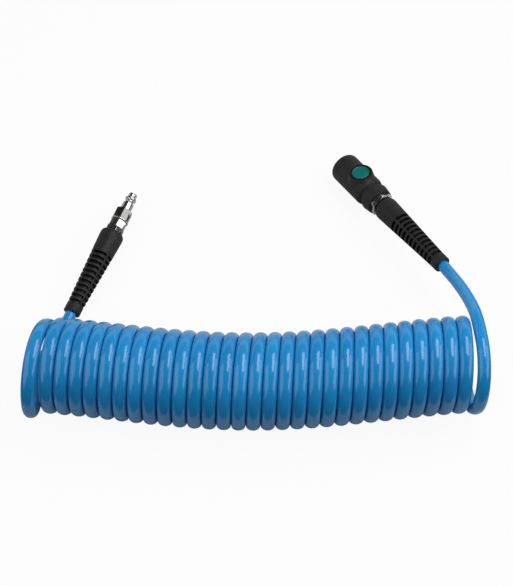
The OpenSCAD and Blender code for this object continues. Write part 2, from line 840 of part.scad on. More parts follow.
hose_coil();
plug_tail();
coupler_tail();
plug_frame() hose_end();  // plug_hose_end
coupler_frame() hose_end();  // coupler_hose_end
plug_frame() sleeve(plug_slot_turn);  // plug_bend_sleeve
coupler_frame() sleeve(coupler_slot_turn);  // coupler_bend_sleeve
plug_frame() hose_nut();
plug_frame() plug_body();
plug_frame() plug_seal_washer();
plug_frame() plug_hose_barb();
plug_frame() ferrule();  // plug_ferrule
coupler_frame() coupler_stem();
coupler_frame() ferrule();  // coupler_ferrule
coupler_frame() stem_seal();
coupler_frame() retaining_ring();
coupler_frame() tail_hex();
coupler_frame() rear_collar();
coupler_frame() coupler_body();
coupler_frame() socket_sleeve();
coupler_frame() button_rim();
coupler_frame() release_button();
coupler_frame() button_spring();
coupler_frame() locking_slide();
coupler_frame() lip_seal();
coupler_frame() valve_seal();
coupler_frame() valve_poppet();
coupler_frame() valve_spring();
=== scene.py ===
import math

import bmesh
import bpy
from bpy.props import FloatProperty, FloatVectorProperty, IntProperty, PointerProperty
from mathutils import Euler, Matrix, Vector


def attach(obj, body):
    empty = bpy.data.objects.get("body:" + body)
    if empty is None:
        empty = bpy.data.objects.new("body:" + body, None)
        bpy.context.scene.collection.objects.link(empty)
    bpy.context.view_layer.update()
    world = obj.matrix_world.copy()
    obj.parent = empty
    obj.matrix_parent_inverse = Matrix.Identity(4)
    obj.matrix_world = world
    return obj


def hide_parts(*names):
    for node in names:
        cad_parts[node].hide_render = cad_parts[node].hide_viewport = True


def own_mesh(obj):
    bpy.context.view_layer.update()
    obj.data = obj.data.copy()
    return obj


bl_info = {
    "name": "Coiled Air Hose",
    "version": (1, 0, 0),
    "blender": (4, 5, 0),
    "location": "View3D > Sidebar > Air Hose",
    "description": "Dresses a coiled air hose with its bend sleeves, plug and push-button coupler",
    "category": "Add Mesh",
}

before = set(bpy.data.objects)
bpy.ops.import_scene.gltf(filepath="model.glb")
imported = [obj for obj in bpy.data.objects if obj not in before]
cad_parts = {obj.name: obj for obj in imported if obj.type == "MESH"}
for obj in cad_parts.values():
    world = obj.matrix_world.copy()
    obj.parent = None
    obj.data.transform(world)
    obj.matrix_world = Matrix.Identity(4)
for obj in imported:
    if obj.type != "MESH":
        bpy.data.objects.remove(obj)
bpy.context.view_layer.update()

MM = 0.001
IMAGE_HEIGHT = 586.0        # the long side of the picture, in pixels
SENSOR = 36.0

# The free hose past each end of the coil, in metres from that end.
PLUG_ROUTE = [
    (0, 0, 0), (-0.0002, 0.007, 0.0004), (0.0005, 0.014, 0.0008), (0.0026, 0.0209, 0.0011),
    (0.0059, 0.0273, 0.0015), (0.0096, 0.0337, 0.0019), (0.0133, 0.04, 0.0023),
    (0.0169, 0.0464, 0.0027), (0.0202, 0.0533, 0.0031), (0.0231, 0.0601, 0.0036),
    (0.0258, 0.0669, 0.0041), (0.0283, 0.0733, 0.0045),
]
COUPLER_ROUTE = [
    (0, 0, 0), (-0.0007, 0.009, -0.002), (-0.0017, 0.0179, -0.0046), (-0.003, 0.0267, -0.008),
    (-0.0047, 0.0355, -0.0119), (-0.0068, 0.0443, -0.016), (-0.0092, 0.0531, -0.0201),
    (-0.0118, 0.0614, -0.024), (-0.0147, 0.0696, -0.0278), (-0.0181, 0.0779, -0.0314),
    (-0.0218, 0.0858, -0.0343), (-0.0258, 0.0937, -0.0365),
]


# ---- Sizes and colours that a user may change ----
def length(name, millimetres, description):
    return FloatProperty(
        name=name, description=description, default=millimetres * MM, min=0.0,
        unit="LENGTH", precision=4,
    )


def turn(name, degrees, description):
    return FloatProperty(
        name=name, description=description, default=math.radians(degrees), unit="ROTATION",
    )


def colour(name, red, green, blue, description):
    return FloatVectorProperty(
        name=name, description=description, default=(red, green, blue), min=0.0, max=1.0,
        subtype="COLOR",
    )


class HoseSizes(bpy.types.PropertyGroup):
    """Sizes of the hose and its coil"""
    diameter: length("Diameter", 12, "Outside diameter of the hose where it is round")
    free_length: length("Free length", 8190, "Length of the hose between its two sleeves")
    turns: IntProperty(name="Turns", description="Whole turns in the coil", default=30, min=8)
    pitch: length("Pitch", 13.9, "Distance from one turn to the next")
    coil_diameter: length("Coil diameter", 94, "Outside diameter of the coil")
    wound_width: length("Wound width", 14, "Most width of the wound hose along the coil")
    turn_gap: length("Turn gap", 0.06, "Least gap from one turn to the next")
    wound_thickness: length("Wound thickness", 10.9, "Thickness of the wound hose")
    bow: length("Bow", 18.9, "How far the ends of the coil bend back behind its middle")
    last_turn: FloatProperty(
        name="Last turn", description="Part of a turn that the last turn goes past the bottom",
        default=0.53, min=0.4, max=0.6,
    )
    rings: IntProperty(name="Rings", description="Sections along one turn", default=60, min=24)
    sides: IntProperty(name="Sides", description="Sides of a section", default=20, min=8)


class SleeveSizes(bpy.types.PropertyGroup):
    """Sizes of the two bend sleeves"""
    length: length("Length", 103, "Length of a sleeve")
    diameter: length("Diameter", 25.4, "Diameter of the thick end")
    face_diameter: length("Face", 20, "Diameter of the flat face inside the shoulder")
    cuff_diameter: length("Cuff diameter", 17.6, "Diameter of the cuff")
    cuff_length: length("Cuff length", 9, "Length of the plain cuff")
    face_back: length("Face back", 0.9, "How far the face lies behind the start of the metal")
    slot_rows: IntProperty(name="Slot rows", description="Rows of slots", default=11, min=2)
    slot_pitch: length("Slot pitch", 5.95, "Distance from one row of slots to the next")
    slot_width: length("Slot width", 3.2, "Width of a slot along the sleeve")
    slot_depth: length("Slot depth", 3.2, "Depth of the slots at the thick end")
    cuff_slot_depth: length("Slot depth at the cuff", 2.0, "Depth of the last slots")
    slot_arc: turn("Slot arc", 80, "Arc of a slot")
    plug_turn: turn("Plug sleeve turn", 4.5, "How far the plug's sleeve is turned")
    coupler_turn: turn("Coupler sleeve turn", 9.6, "How far the coupler's sleeve is turned")


class PlugSizes(bpy.types.PropertyGroup):
    """Sizes of the plug and its hose nut"""
    flange_af: length("Flange across flats", 18.4, "Width across flats of the nut's flange")
    nut_af: length("Nut across flats", 16, "Width across flats of the nut")
    flange_length: length("Flange length", 5, "Length of the nut's flange")
    nut_length: length("Nut length", 9.7, "Length of the nut in front of its flange")
    washer: length("Washer", 1.8, "Thickness of the sealing washer")
    body_af: length("Plug across flats", 16.5, "Width across flats of the plug")
    hex_length: length("Hexagon length", 12.5, "Length of the plug's hexagon")
    diameter: length("Diameter", 11.9, "Diameter of the shank and the locking shoulder")
    shank_length: length("Shank length", 10, "Length of the shank")
    groove_diameter: length("Groove diameter", 8.6, "Diameter of the locking groove")
    groove_width: length("Groove width", 3.6, "Width of the locking groove")
    shoulder_length: length("Shoulder length", 3, "Length of the locking shoulder")
    tip_diameter: length("Tip diameter", 9.2, "Diameter of the tip")
    tip_length: length("Tip length", 5.4, "Length of the tip")
    bore: length("Bore", 5.4, "Bore of the plug")
    flange_turn: turn("Flange turn", -8, "How far the flange's hexagon is turned")
    hex_turn: turn("Hexagon turn", -18, "How far the nut's and the plug's hexagons are turned")


class CouplerSizes(bpy.types.PropertyGroup):
    """Sizes of the coupler and its button"""
    diameter: length("Diameter", 32.5, "Outside diameter of the body")
    length: length("Length", 53.5, "Length of the body")
    neck_diameter: length("Neck diameter", 25.6, "Diameter of the neck behind the body")
    neck_length: length("Neck length", 1.8, "Length of the neck")
    collar_diameter: length("Collar diameter", 31.5, "Diameter of the rear collar")
    collar_length: length("Collar length", 14.2, "Length of the rear collar")
    tail_af: length("Tail across flats", 23, "Width across flats of the tail piece")
    tail_turn: turn("Tail turn", 31, "How far the tail's hexagon is turned")
    hex_length: length("Hexagon length", 6.2, "Length of the tail piece's hexagon")
    mouth_depth: length("Mouth depth", 16.2, "Depth of the mouth")
    mouth_diameter: length("Mouth diameter", 22, "Diameter of the mouth")
    socket_diameter: length("Socket diameter", 24, "Diameter of the metal socket")
    button_diameter: length("Button diameter", 18.6, "Diameter of the button")
    button_from_nose: length("Button place", 35.5, "From the nose to the middle of the button")
    boss_diameter: length("Boss diameter", 26, "Diameter of the boss round the button")
    boss_height: length("Boss height", 1.5, "Height of the boss above the body")
    voxel: length("Voxel", 0.4, "Grain of the body's blended shell")


class Finishes(bpy.types.PropertyGroup):
    """Colours of the finishes"""
    hose: colour("Hose", 0.018, 0.312, 0.715, "Clear blue polyurethane")
    hose_deep: colour("Hose, deep", 0.012, 0.258, 0.625, "Where the hose looks thicker")
    rubber: colour("Rubber", 0.017, 0.016, 0.0155, "Moulded rubber of the sleeves")
    # Painted shade: the slot colour is the rubber made near black down in the slots, to stand in for
    # the shade that falls in them.
    slot: colour("Slot", 0.002, 0.002, 0.002, "The same rubber down in the slots")
    shell: colour("Shell", 0.019, 0.018, 0.0175, "Moulded shell of the coupler")
    nickel: colour("Nickel", 0.72, 0.71, 0.69, "Bright nickel on steel")
    brass: colour("Brass", 0.72, 0.50, 0.20, "Bare brass of the inner pieces")
    seal: colour("Seal", 0.005, 0.005, 0.0055, "Nitrile rubber of the seals")
    spring: colour("Spring", 0.42, 0.43, 0.45, "Spring steel")
    button: colour("Button", 0.0, 0.165, 0.140, "Teal plastic of the button")
    floor: colour("Floor", 0.82, 0.82, 0.82, "Plain floor")


class Studio(bpy.types.PropertyGroup):
    """Camera and light"""
    focal_pixels: FloatProperty(
        name="Focal length", description="Focal length in pixels of the picture", default=1281.5,
    )
    pitch: turn("Pitch", 59, "How far the camera looks down")
    heading: turn("Heading", -3.885, "Heading of the camera")
    roll: turn("Roll", -3.461, "Roll of the camera")
    overhead: FloatProperty(name="Overhead", description="Brightness of the lamp above", default=3.7)
    side: FloatProperty(name="Side", description="Brightness of the right lamp", default=1.8)
    soft: FloatProperty(name="Soft", description="Brightness of the left lamp", default=1.1)
    fill: FloatProperty(name="Fill", description="Brightness of the room for soft light", default=0.27)
    floor_lift: FloatProperty(
        name="Floor lift", description="How far the floor is lifted to white", default=0.93,
        min=0.0, max=1.0,
    )


class AirHose(bpy.types.PropertyGroup):
    """All the settings of the coiled air hose"""
    hose: PointerProperty(type=HoseSizes)
    sleeve: PointerProperty(type=SleeveSizes)
    plug: PointerProperty(type=PlugSizes)
    coupler: PointerProperty(type=CouplerSizes)
    finish: PointerProperty(type=Finishes)
    studio: PointerProperty(type=Studio)


def settings():
    return bpy.context.scene.air_hose


# ---- Small sums ----
def mix(a, b, share):
    return a + (b - a) * share


def clamp(value, low, high):
    return min(max(value, low), high)


def smooth_step(share):
    share = clamp(share, 0.0, 1.0)
    return share * share * (3 - 2 * share)


def across(v, direction):
    """The part of v that is square to a direction, at length 1."""
    return (v - v.dot(direction) * direction).normalized()


# ---- The coil ----
COIL_MIDDLE = Vector((-0.001, -0.1194))     # of its axis, in plan
COIL_FLAT = 1.2 * MM                        # the coil rests this deep on its flat
BOW_ANGLE = math.radians(143)
COIL_YAW = math.radians(0.6)
COIL_FAN = math.radians(5.6)
START_OUT = 6.6 * MM                        # the first turn opens outwards and forwards
START_FORWARD = 7 * MM
END_OUT = 3.9 * MM                          # and so does the last
END_FORWARD = 3 * MM
END_LEAN = 2.8 * MM                         # which then leans back towards the coupler
END_LEAN_SPAN = 0.2
END_WIDTH = 1.03                            # of the section where the coil ends, in diameters
END_THICKNESS = 0.94
TANGENT_STEP = 0.0005


class Coil:
    """The line that the wound hose follows, by turns t from its start."""

    def __init__(self):
        self.sizes = settings().hose
        self.radius = (self.sizes.coil_diameter - self.sizes.wound_thickness) / 2
        self.axis_z = self.sizes.coil_diameter / 2 - COIL_FLAT
        self.last = self.sizes.turns + self.sizes.last_turn
        self.half_length = self.sizes.pitch * self.sizes.turns / 2

    def middle(self, t):
        x = self.sizes.pitch * (t - self.sizes.turns / 2)
        start = max(1 - t, 0)
        end = max(1 - (self.last - t), 0)
        lean = max(1 - (self.last - t) / END_LEAN_SPAN, 0)
        bow = (1 - math.cos(BOW_ANGLE * x / self.half_length)) / (1 - math.cos(BOW_ANGLE))
        return Vector((
            COIL_MIDDLE.x + x - START_OUT * start**2 + END_OUT * end**2 - END_LEAN * lean**2,
            COIL_MIDDLE.y + self.sizes.bow * bow - START_FORWARD * start - END_FORWARD * end,
            self.axis_z,
        ))

    def point(self, t):
        angle = math.pi - math.tau * t
        yaw = COIL_YAW - COIL_FAN * (t / self.sizes.turns - 0.5)
        spoke = Vector((
            -math.sin(angle) * math.sin(yaw), -math.sin(angle) * math.cos(yaw), math.cos(angle),
        ))
        return self.middle(t) + self.radius * spoke

    def direction(self, t):
        return (self.point(t + TANGENT_STEP) - self.point(t - TANGENT_STEP)).normalized()

    def wound(self, t):
        """How fully the hose is wound: 0 at both ends of the coil, 1 half a turn inside."""
        return smooth_step(2 * min(t, self.last - t))

    def room(self, t):
        """Width of a section that all but touches the turns beside it."""
        beside = [u for u in (t - 1, t + 1) if 0 <= u <= self.last]
        room = min((self.point(u) - self.point(t)).length for u in beside) - self.sizes.turn_gap
        return min(room, self.sizes.wound_width)

    def station(self, t, run=0.0):
        """Centre, direction, outward direction, half width and half thickness of a section."""
        direction = self.direction(t)
        outward = across(self.point(t) - self.middle(t), direction)
        wound = self.wound(t)
        width = mix(self.sizes.diameter * END_WIDTH, self.room(t), wound)
        thickness = mix(self.sizes.diameter * END_THICKNESS, self.sizes.wound_thickness, wound)
        return (self.point(t) + run * direction, direction, outward, width / 2, thickness / 2)

    def ends(self):
        """Where the coil's straight end runs stop, at its start and its finish."""
        run = self.sizes.diameter
        return (
            self.point(0) - run * self.direction(0),
            self.point(self.last) + run * self.direction(self.last),
        )


# ---- Where the two fittings lie ----
PLUG_HEADING = math.radians(21)             # of the plug's axis, from +Y towards +X
COUPLER_HEADING = math.radians(-32.9)
CONE_START = 8 * MM                         # behind the sleeve's face
NOSE_ROUND = 4 * MM
FACE_GAP = 0.3 * MM
NECK_GAP = 0.2 * MM


def plug_rise():
    sleeve = settings().sleeve
    return math.atan((sleeve.diameter - sleeve.cuff_diameter) / 2 / (sleeve.length - CONE_START))


def plug_cuff():
    """Middle of the mouth of the plug's sleeve, which lies on the ground along its cone."""
    cuff = Coil().ends()[0] + Vector(PLUG_ROUTE[-1])
    cuff.z = settings().sleeve.cuff_diameter / 2 / math.cos(plug_rise())
    return cuff


def coupler_cuff():
    return Coil().ends()[1] + Vector(COUPLER_ROUTE[-1])


def coupler_reach():
    """From the coupler sleeve's cuff to the middle of the round of the nose."""
    c = settings().coupler
    return (
        settings().sleeve.length + FACE_GAP + c.hex_length + c.collar_length + c.neck_length
        + c.length + NECK_GAP - NOSE_ROUND
    )


def coupler_fall():
    """The coupler's nose rests on the ground, at the round of its rim."""
    nose_radius = settings().coupler.diameter / 2 - NOSE_ROUND
    reach = coupler_reach()
    drop = coupler_cuff().z - NOSE_ROUND
    return math.asin(drop / math.hypot(reach, nose_radius)) - math.atan(nose_radius / reach)


def fitting_frame(cuff, heading, rise):
    """A fitting's own frame: +Z runs away from the hose, from the face of the sleeve."""
    turned = (
        Matrix.Rotation(-heading, 4, "Z") @ Matrix.Rotation(rise - math.pi / 2, 4, "X")
    )
    face = cuff + turned @ Vector((0, 0, settings().sleeve.length))
    return Matrix.Translation(face) @ turned


def plug_frame():
    return fitting_frame(plug_cuff(), PLUG_HEADING, plug_rise())


def coupler_frame():
    return fitting_frame(coupler_cuff(), COUPLER_HEADING, -coupler_fall())


def button_frame(z):
    """The button slides along +Z of this frame, which stands on the coupler's axis."""
    return coupler_frame() @ Matrix.Translation((0, 0, z)) @ Matrix.Rotation(math.pi / 2, 4, "X")


class CouplerPlaces:
    """Places along the coupler's axis, from the face of its sleeve."""

    def __init__(self):
        c = settings().coupler
        self.hex_start = FACE_GAP
        self.hex_top = self.hex_start + c.hex_length
        self.collar_top = self.hex_top + c.collar_length
        self.neck_start = self.collar_top + NECK_GAP
        self.body_start = self.neck_start + c.neck_length
        self.nose = self.body_start + c.length
        self.socket_front = self.nose - c.mouth_depth
        self.button = self.nose - c.button_from_nose
        self.spring_step = self.collar_top + 1.9 * MM
        self.tail_front = self.collar_top + 8 * MM


# ---- Meshes ----
def soften(points, radius, steps=4):
    """Rounds each corner of a closed outline: (x, y) is rounded by radius, (x, y, r) by its own r."""
    rounded = []
    count = len(points)
    for i, point in enumerate(points):
        corner = Vector(point[:2])
        r = point[2] if len(point) > 2 else radius
        before = Vector(points[i - 1][:2]) - corner
        after = Vector(points[(i + 1) % count][:2]) - corner
        reach = min(r, 0.45 * before.length, 0.45 * after.length)
        if reach < 1e-7:
            rounded.append(corner)
            continue
        a = corner + before.normalized() * reach
        b = corner + after.normalized() * reach
        for k in range(steps + 1):
            s = k / steps
            rounded.append((1 - s) ** 2 * a + 2 * s * (1 - s) * corner + s**2 * b)
    return rounded


def arc(middle, reach, first, last, steps=8):
    """Points of an outline on an ellipse, from one angle in degrees to another."""
    angles = [math.radians(mix(first, last, k / steps)) for k in range(steps + 1)]
    return [
        (middle[0] + reach[0] * math.cos(a), middle[1] + reach[1] * math.sin(a)) for a in angles
    ]


def lathe(outline, steps=96, on_axis=False):
    """A solid turned from an outline of (radius, z). One on the axis is left open there."""
    bm = bmesh.new()
    verts = [bm.verts.new((r, 0, z)) for r, z in outline]
    pairs = list(zip(verts, verts[1:]))
    if not on_axis:
        pairs.append((verts[-1], verts[0]))
    edges = [bm.edges.new(pair) for pair in pairs]
    bmesh.ops.spin(
        bm, geom=verts + edges, cent=(0, 0, 0), axis=(0, 0, 1), angle=math.tau, steps=steps,
        use_merge=True,
    )
    bmesh.ops.remove_doubles(bm, verts=bm.verts, dist=1e-7)
    bmesh.ops.recalc_face_normals(bm, faces=bm.faces)
    return bm


def cut_flats(bm, across_flats, turned, low, high):
    """Saws six flats on the part of a turned bar between two heights."""
    for k in range(6):
        angle = math.radians(30 + 60 * k) + turned
        normal = Vector((math.cos(angle), math.sin(angle), 0))
        band = [f for f in bm.faces if low <= f.calc_center_median().z <= high]
        around = {e for f in band for e in f.edges}
        corners = {v for f in band for v in f.verts}
        cut = bmesh.ops.bisect_plane(
            bm, geom=list(corners) + list(around) + band, dist=1e-7,
            plane_co=normal * across_flats / 2, plane_no=normal, clear_outer=True,
        )
        rim = [e for e in cut["geom_cut"] if isinstance(e, bmesh.types.BMEdge)]
        if rim:
            bmesh.ops.contextual_create(bm, geom=rim)
    bmesh.ops.recalc_face_normals(bm, faces=bm.faces)


def tube(sections, along):
    """A closed tube through sections. Its UV map runs round it in X, and along it, in metres, in Y."""
    bm = bmesh.new()
    uv = bm.loops.layers.uv.new("UVMap")
    rings = [[bm.verts.new(point) for point in section] for section in sections]
    count = len(rings[0])
    for i, (near, far) in enumerate(zip(rings, rings[1:])):
        for j in range(count):
            k = (j + 1) % count
            face = bm.faces.new((near[j], near[k], far[k], far[j]))
            corners = ((j, i), (j + 1, i), (j + 1, i + 1), (j, i + 1))
            for loop, (side, ring) in zip(face.loops, corners):
                loop[uv].uv = (side / count, along[ring])
    bm.faces.new(list(reversed(rings[0])))
    bm.faces.new(rings[-1])
    bmesh.ops.recalc_face_normals(bm, faces=bm.faces)
    return bm


def finish_object(name, bm, place=None):
    """Puts a mesh in its place and links it, with the object itself at the origin."""
    if place is not None:
        bmesh.ops.transform(bm, matrix=place, verts=bm.verts)
    mesh = bpy.data.meshes.new(name)
    bm.to_mesh(mesh)
    bm.free()
    mesh.shade_smooth()
    piece = bpy.data.objects.new(name, mesh)
    bpy.context.scene.collection.objects.link(piece)
    return piece


def add_piece(name, bm, place, material, body, replaced):
    piece = finish_object(name, bm, place)
    piece.data.materials.append(material)
    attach(piece, body)
    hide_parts(*replaced)
    return piece


def bevel(piece, width, segments=2, angle=35.0):
    """Breaks the sharp edges of a piece."""
    modifier = piece.modifiers.new("edges", "BEVEL")
    modifier.width = width
    modifier.segments = segments
    modifier.limit_method = "ANGLE"
    modifier.angle_limit = math.radians(angle)
    modifier.harden_normals = True
    modifier.use_clamp_overlap = True
    return modifier


def boolean(piece, other, operation):
    modifier = piece.modifiers.new(operation.lower(), "BOOLEAN")
    modifier.operation = operation
    modifier.object = other
    modifier.solver = "EXACT"


def apply_modifiers(piece):
    """Replaces a piece's mesh by what its modifiers make of it."""
    graph = bpy.context.evaluated_depsgraph_get()
    mesh = bpy.data.meshes.new_from_object(piece.evaluated_get(graph))
    piece.modifiers.clear()
    old = piece.data
    piece.data = mesh
    bpy.data.meshes.remove(old)


def join_solids(bm, others, operation):
    """The mesh of bm after a boolean with each of the other meshes."""
    main = finish_object("work", bm)
    tools = [finish_object("tool", other) for other in others]
    for tool in tools:
        boolean(main, tool, operation)
    apply_modifiers(main)
    joined = bmesh.new()
    joined.from_mesh(main.data)
    for used in [main, *tools]:
        mesh = used.data
        bpy.data.objects.remove(used)
        bpy.data.meshes.remove(mesh)
    return joined


# ---- Finishes ----
class Finish:
    """A material on the standard shader, with the few steps that the finishes here are made of."""

    def __init__(self, name, base, roughness, metallic=0.0):
        self.material = bpy.data.materials.new(name)
        self.material.use_nodes = True
        self.tree = self.material.node_tree
        self.shader = self.tree.nodes["Principled BSDF"]
        self.set("Base Color", (*base, 1.0))
        self.set("Roughness", roughness)
        self.set("Metallic", metallic)
        self.last_bump = None

    def set(self, socket, value):
        self.shader.inputs[socket].default_value = value

    def node(self, kind, **inputs):
        node = self.tree.nodes.new(kind)
        for socket, value in inputs.items():
            node.inputs[socket.replace("_", " ")].default_value = value
        return node

    def link(self, source, target):
        self.tree.links.new(source, target)

    def coordinates(self, place=None, scale=(1, 1, 1), source="Object"):
        """Texture coordinates, in the frame of a fitting if its place is given."""
        where = self.node("ShaderNodeTexCoord").outputs[source]
        if place is not None:
            turned = self.node(
                "ShaderNodeMapping", Location=place.to_translation(),
                Rotation=place.to_euler(),
            )
            turned.vector_type = "TEXTURE"
            self.link(where, turned.inputs["Vector"])
            where = turned.outputs["Vector"]
        stretched = self.node("ShaderNodeMapping", Scale=scale)
        self.link(where, stretched.inputs["Vector"])
        return stretched.outputs["Vector"]

    def noise(self, where, scale, detail=2.0, roughness=0.5):
        grain = self.node("ShaderNodeTexNoise", Scale=scale, Detail=detail, Roughness=roughness)
        self.link(where, grain.inputs["Vector"])
        return grain.outputs["Fac"]

    def spread(self, value, low, high, from_low=0.35, from_high=0.65):
        """Maps the middle of a noise to a range."""
        ranged = self.node("ShaderNodeMapRange")
        for socket, number in zip(("From Min", "From Max", "To Min", "To Max"),
                                  (from_low, from_high, low, high)):
            ranged.inputs[socket].default_value = number
        self.link(value, ranged.inputs["Value"])
        return ranged.outputs["Result"]

    def vary(self, socket, value, low, high, **window):
        self.link(self.spread(value, low, high, **window), self.shader.inputs[socket])

    def tint(self, value, first, second):
        """Colours the surface between two colours."""
        blend = self.node("ShaderNodeMix")
        blend.data_type = "RGBA"
        blend.inputs[6].default_value = (*first, 1.0)
        blend.inputs[7].default_value = (*second, 1.0)
        self.link(self.spread(value, 0.0, 1.0), blend.inputs[0])
        self.link(blend.outputs[2], self.shader.inputs["Base Color"])

    def bump(self, height, strength, depth):
        bump = self.node("ShaderNodeBump", Strength=strength, Distance=depth)
        self.link(height, bump.inputs["Height"])
        if self.last_bump is not None:
            self.link(self.last_bump.outputs["Normal"], bump.inputs["Normal"])
        self.link(bump.outputs["Normal"], self.shader.inputs["Normal"])
        self.last_bump = bump


_made = {}


def finish(maker, *key):
    """Each finish is made once."""
    name = (maker.__name__, *key)
    if name not in _made:
        _made[name] = maker(*key)
    return _made[name]


def shade(base, factor):
    return tuple(clamp(part * factor, 0.0, 1.0) for part in base)


def polyurethane():
    """Glossy blue hose, with faint drawing lines along it and slow changes of depth."""
    colours = settings().finish
    f = Finish("blue_polyurethane", colours.hose, 0.16)
    f.set("Specular IOR Level", 0.4)
    f.set("Coat Weight", 0.45)
    f.set("Coat Roughness", 0.035)
    f.set("Coat IOR", 1.55)
    along = f.coordinates(scale=(1, 12, 1), source="UV")
    lines = f.coordinates(scale=(34, 3, 1), source="UV")
    f.tint(f.noise(along, 1.0, detail=3.0), colours.hose_deep, colours.hose)
    f.vary("Roughness", f.noise(f.coordinates(), 260.0, detail=4.0), 0.12, 0.22)
    f.bump(f.noise(lines, 1.0, detail=2.0), 0.03, 0.0004)
    f.bump(f.noise(f.coordinates(), 900.0, detail=2.0), 0.004, 0.0002)
    return f.material


def moulded_rubber(which):
    """Black moulded rubber with a fine grain and dusty high spots; with the slot colour it is the
    painted shade down in the sleeves' slots.
    """
    base = getattr(settings().finish, which)
    f = Finish("moulded_" + which, base, 0.5)
    f.set("Specular IOR Level", 0.3)
    plain = f.coordinates()
    f.tint(f.noise(plain, 90.0, detail=5.0), base, shade(base, 1.3))
    f.vary("Roughness", f.noise(plain, 420.0, detail=3.0), 0.42, 0.62)
    f.bump(f.noise(plain, 2600.0, detail=2.0), 0.22, 0.0002)
    f.bump(f.noise(plain, 300.0, detail=3.0), 0.1, 0.0004)
    return f.material


def nickel(side):
    """Bright nickel, turned on a lathe: fine rings round the axis, and light handling marks."""
    place = plug_frame() if side.startswith("plug") else coupler_frame()
    base = settings().finish.nickel
    # Painted shade: on the plug's hexagon the nickel is darkened to 0.45, to stand in for the dark
    # reflections on its flats.
    if side == "plug_hexagon":
        base = shade(base, 0.45)
    f = Finish("nickel_" + side, base, 0.2, metallic=1.0)
    rings = f.coordinates(place, scale=(40, 40, 5200))
    smears = f.coordinates(place, scale=(1, 1, 0.4))
    f.tint(f.noise(smears, 260.0, detail=4.0), shade(base, 0.8), base)
    f.vary("Roughness", f.noise(smears, 700.0, detail=5.0), 0.1, 0.22)
    f.bump(f.noise(rings, 1.0, detail=1.0), 0.03, 0.0001)
    f.bump(f.noise(smears, 900.0, detail=4.0), 0.02, 0.0001)
    return f.material


def inner_metal(which):
    base = getattr(settings().finish, which)
    f = Finish("inner_" + which, base, 0.3, metallic=1.0)
    plain = f.coordinates()
    f.tint(f.noise(plain, 200.0, detail=4.0), shade(base, 0.8), base)
    f.vary("Roughness", f.noise(plain, 800.0, detail=4.0), 0.22, 0.42)
    f.bump(f.noise(plain, 2200.0, detail=2.0), 0.08, 0.0001)
    return f.material


def seal_rubber():
    base = settings().finish.seal
    f = Finish("seal_rubber", base, 0.4)
    f.set("Specular IOR Level", 0.2)
    plain = f.coordinates()
    f.tint(f.noise(plain, 300.0, detail=3.0), base, shade(base, 1.6))
    f.vary("Roughness", f.noise(plain, 900.0, detail=3.0), 0.32, 0.5)
    f.bump(f.noise(plain, 3000.0), 0.08, 0.0001)
    return f.material


def button_plastic():
    """Satin teal plastic."""
    base = settings().finish.button
    f = Finish("teal_plastic", base, 0.34)
    f.set("Specular IOR Level", 0.25)
    plain = f.coordinates()
    f.tint(f.noise(plain, 160.0, detail=4.0), shade(base, 0.88), shade(base, 1.1))
    f.vary("Roughness", f.noise(plain, 900.0, detail=3.0), 0.28, 0.42)
    f.bump(f.noise(plain, 2400.0, detail=2.0), 0.06, 0.0002)
    return f.material


# ---- The stage ----
CAMERA_PLACE = Vector((0.0474, -0.6771, 1.1406))


def make_camera(studio):
    data = bpy.data.cameras.new("camera")
    data.sensor_width = SENSOR
    data.lens = studio.focal_pixels * SENSOR / IMAGE_HEIGHT
    data.clip_start = 0.05
    data.clip_end = 50.0
    camera = bpy.data.objects.new("camera", data)
    bpy.context.scene.collection.objects.link(camera)
    down, heading, roll = studio.pitch, studio.heading, studio.roll
    forward = Vector((
        math.sin(heading) * math.cos(down), math.cos(heading) * math.cos(down), -math.sin(down),
    ))
    right = Vector((math.cos(heading), -math.sin(heading), 0))
    up = right.cross(forward)
    x = math.cos(roll) * right + math.sin(roll) * up
    y = -math.sin(roll) * right + math.cos(roll) * up
    turned = Matrix((x, y, -forward)).transposed().to_4x4()
    camera.matrix_world = Matrix.Translation(CAMERA_PLACE) @ turned
    bpy.context.scene.camera = camera


FLOOR_HALF = 12.0
FLAG_EDGE = -0.228          # a black flag hides the floor in front of this from reflections


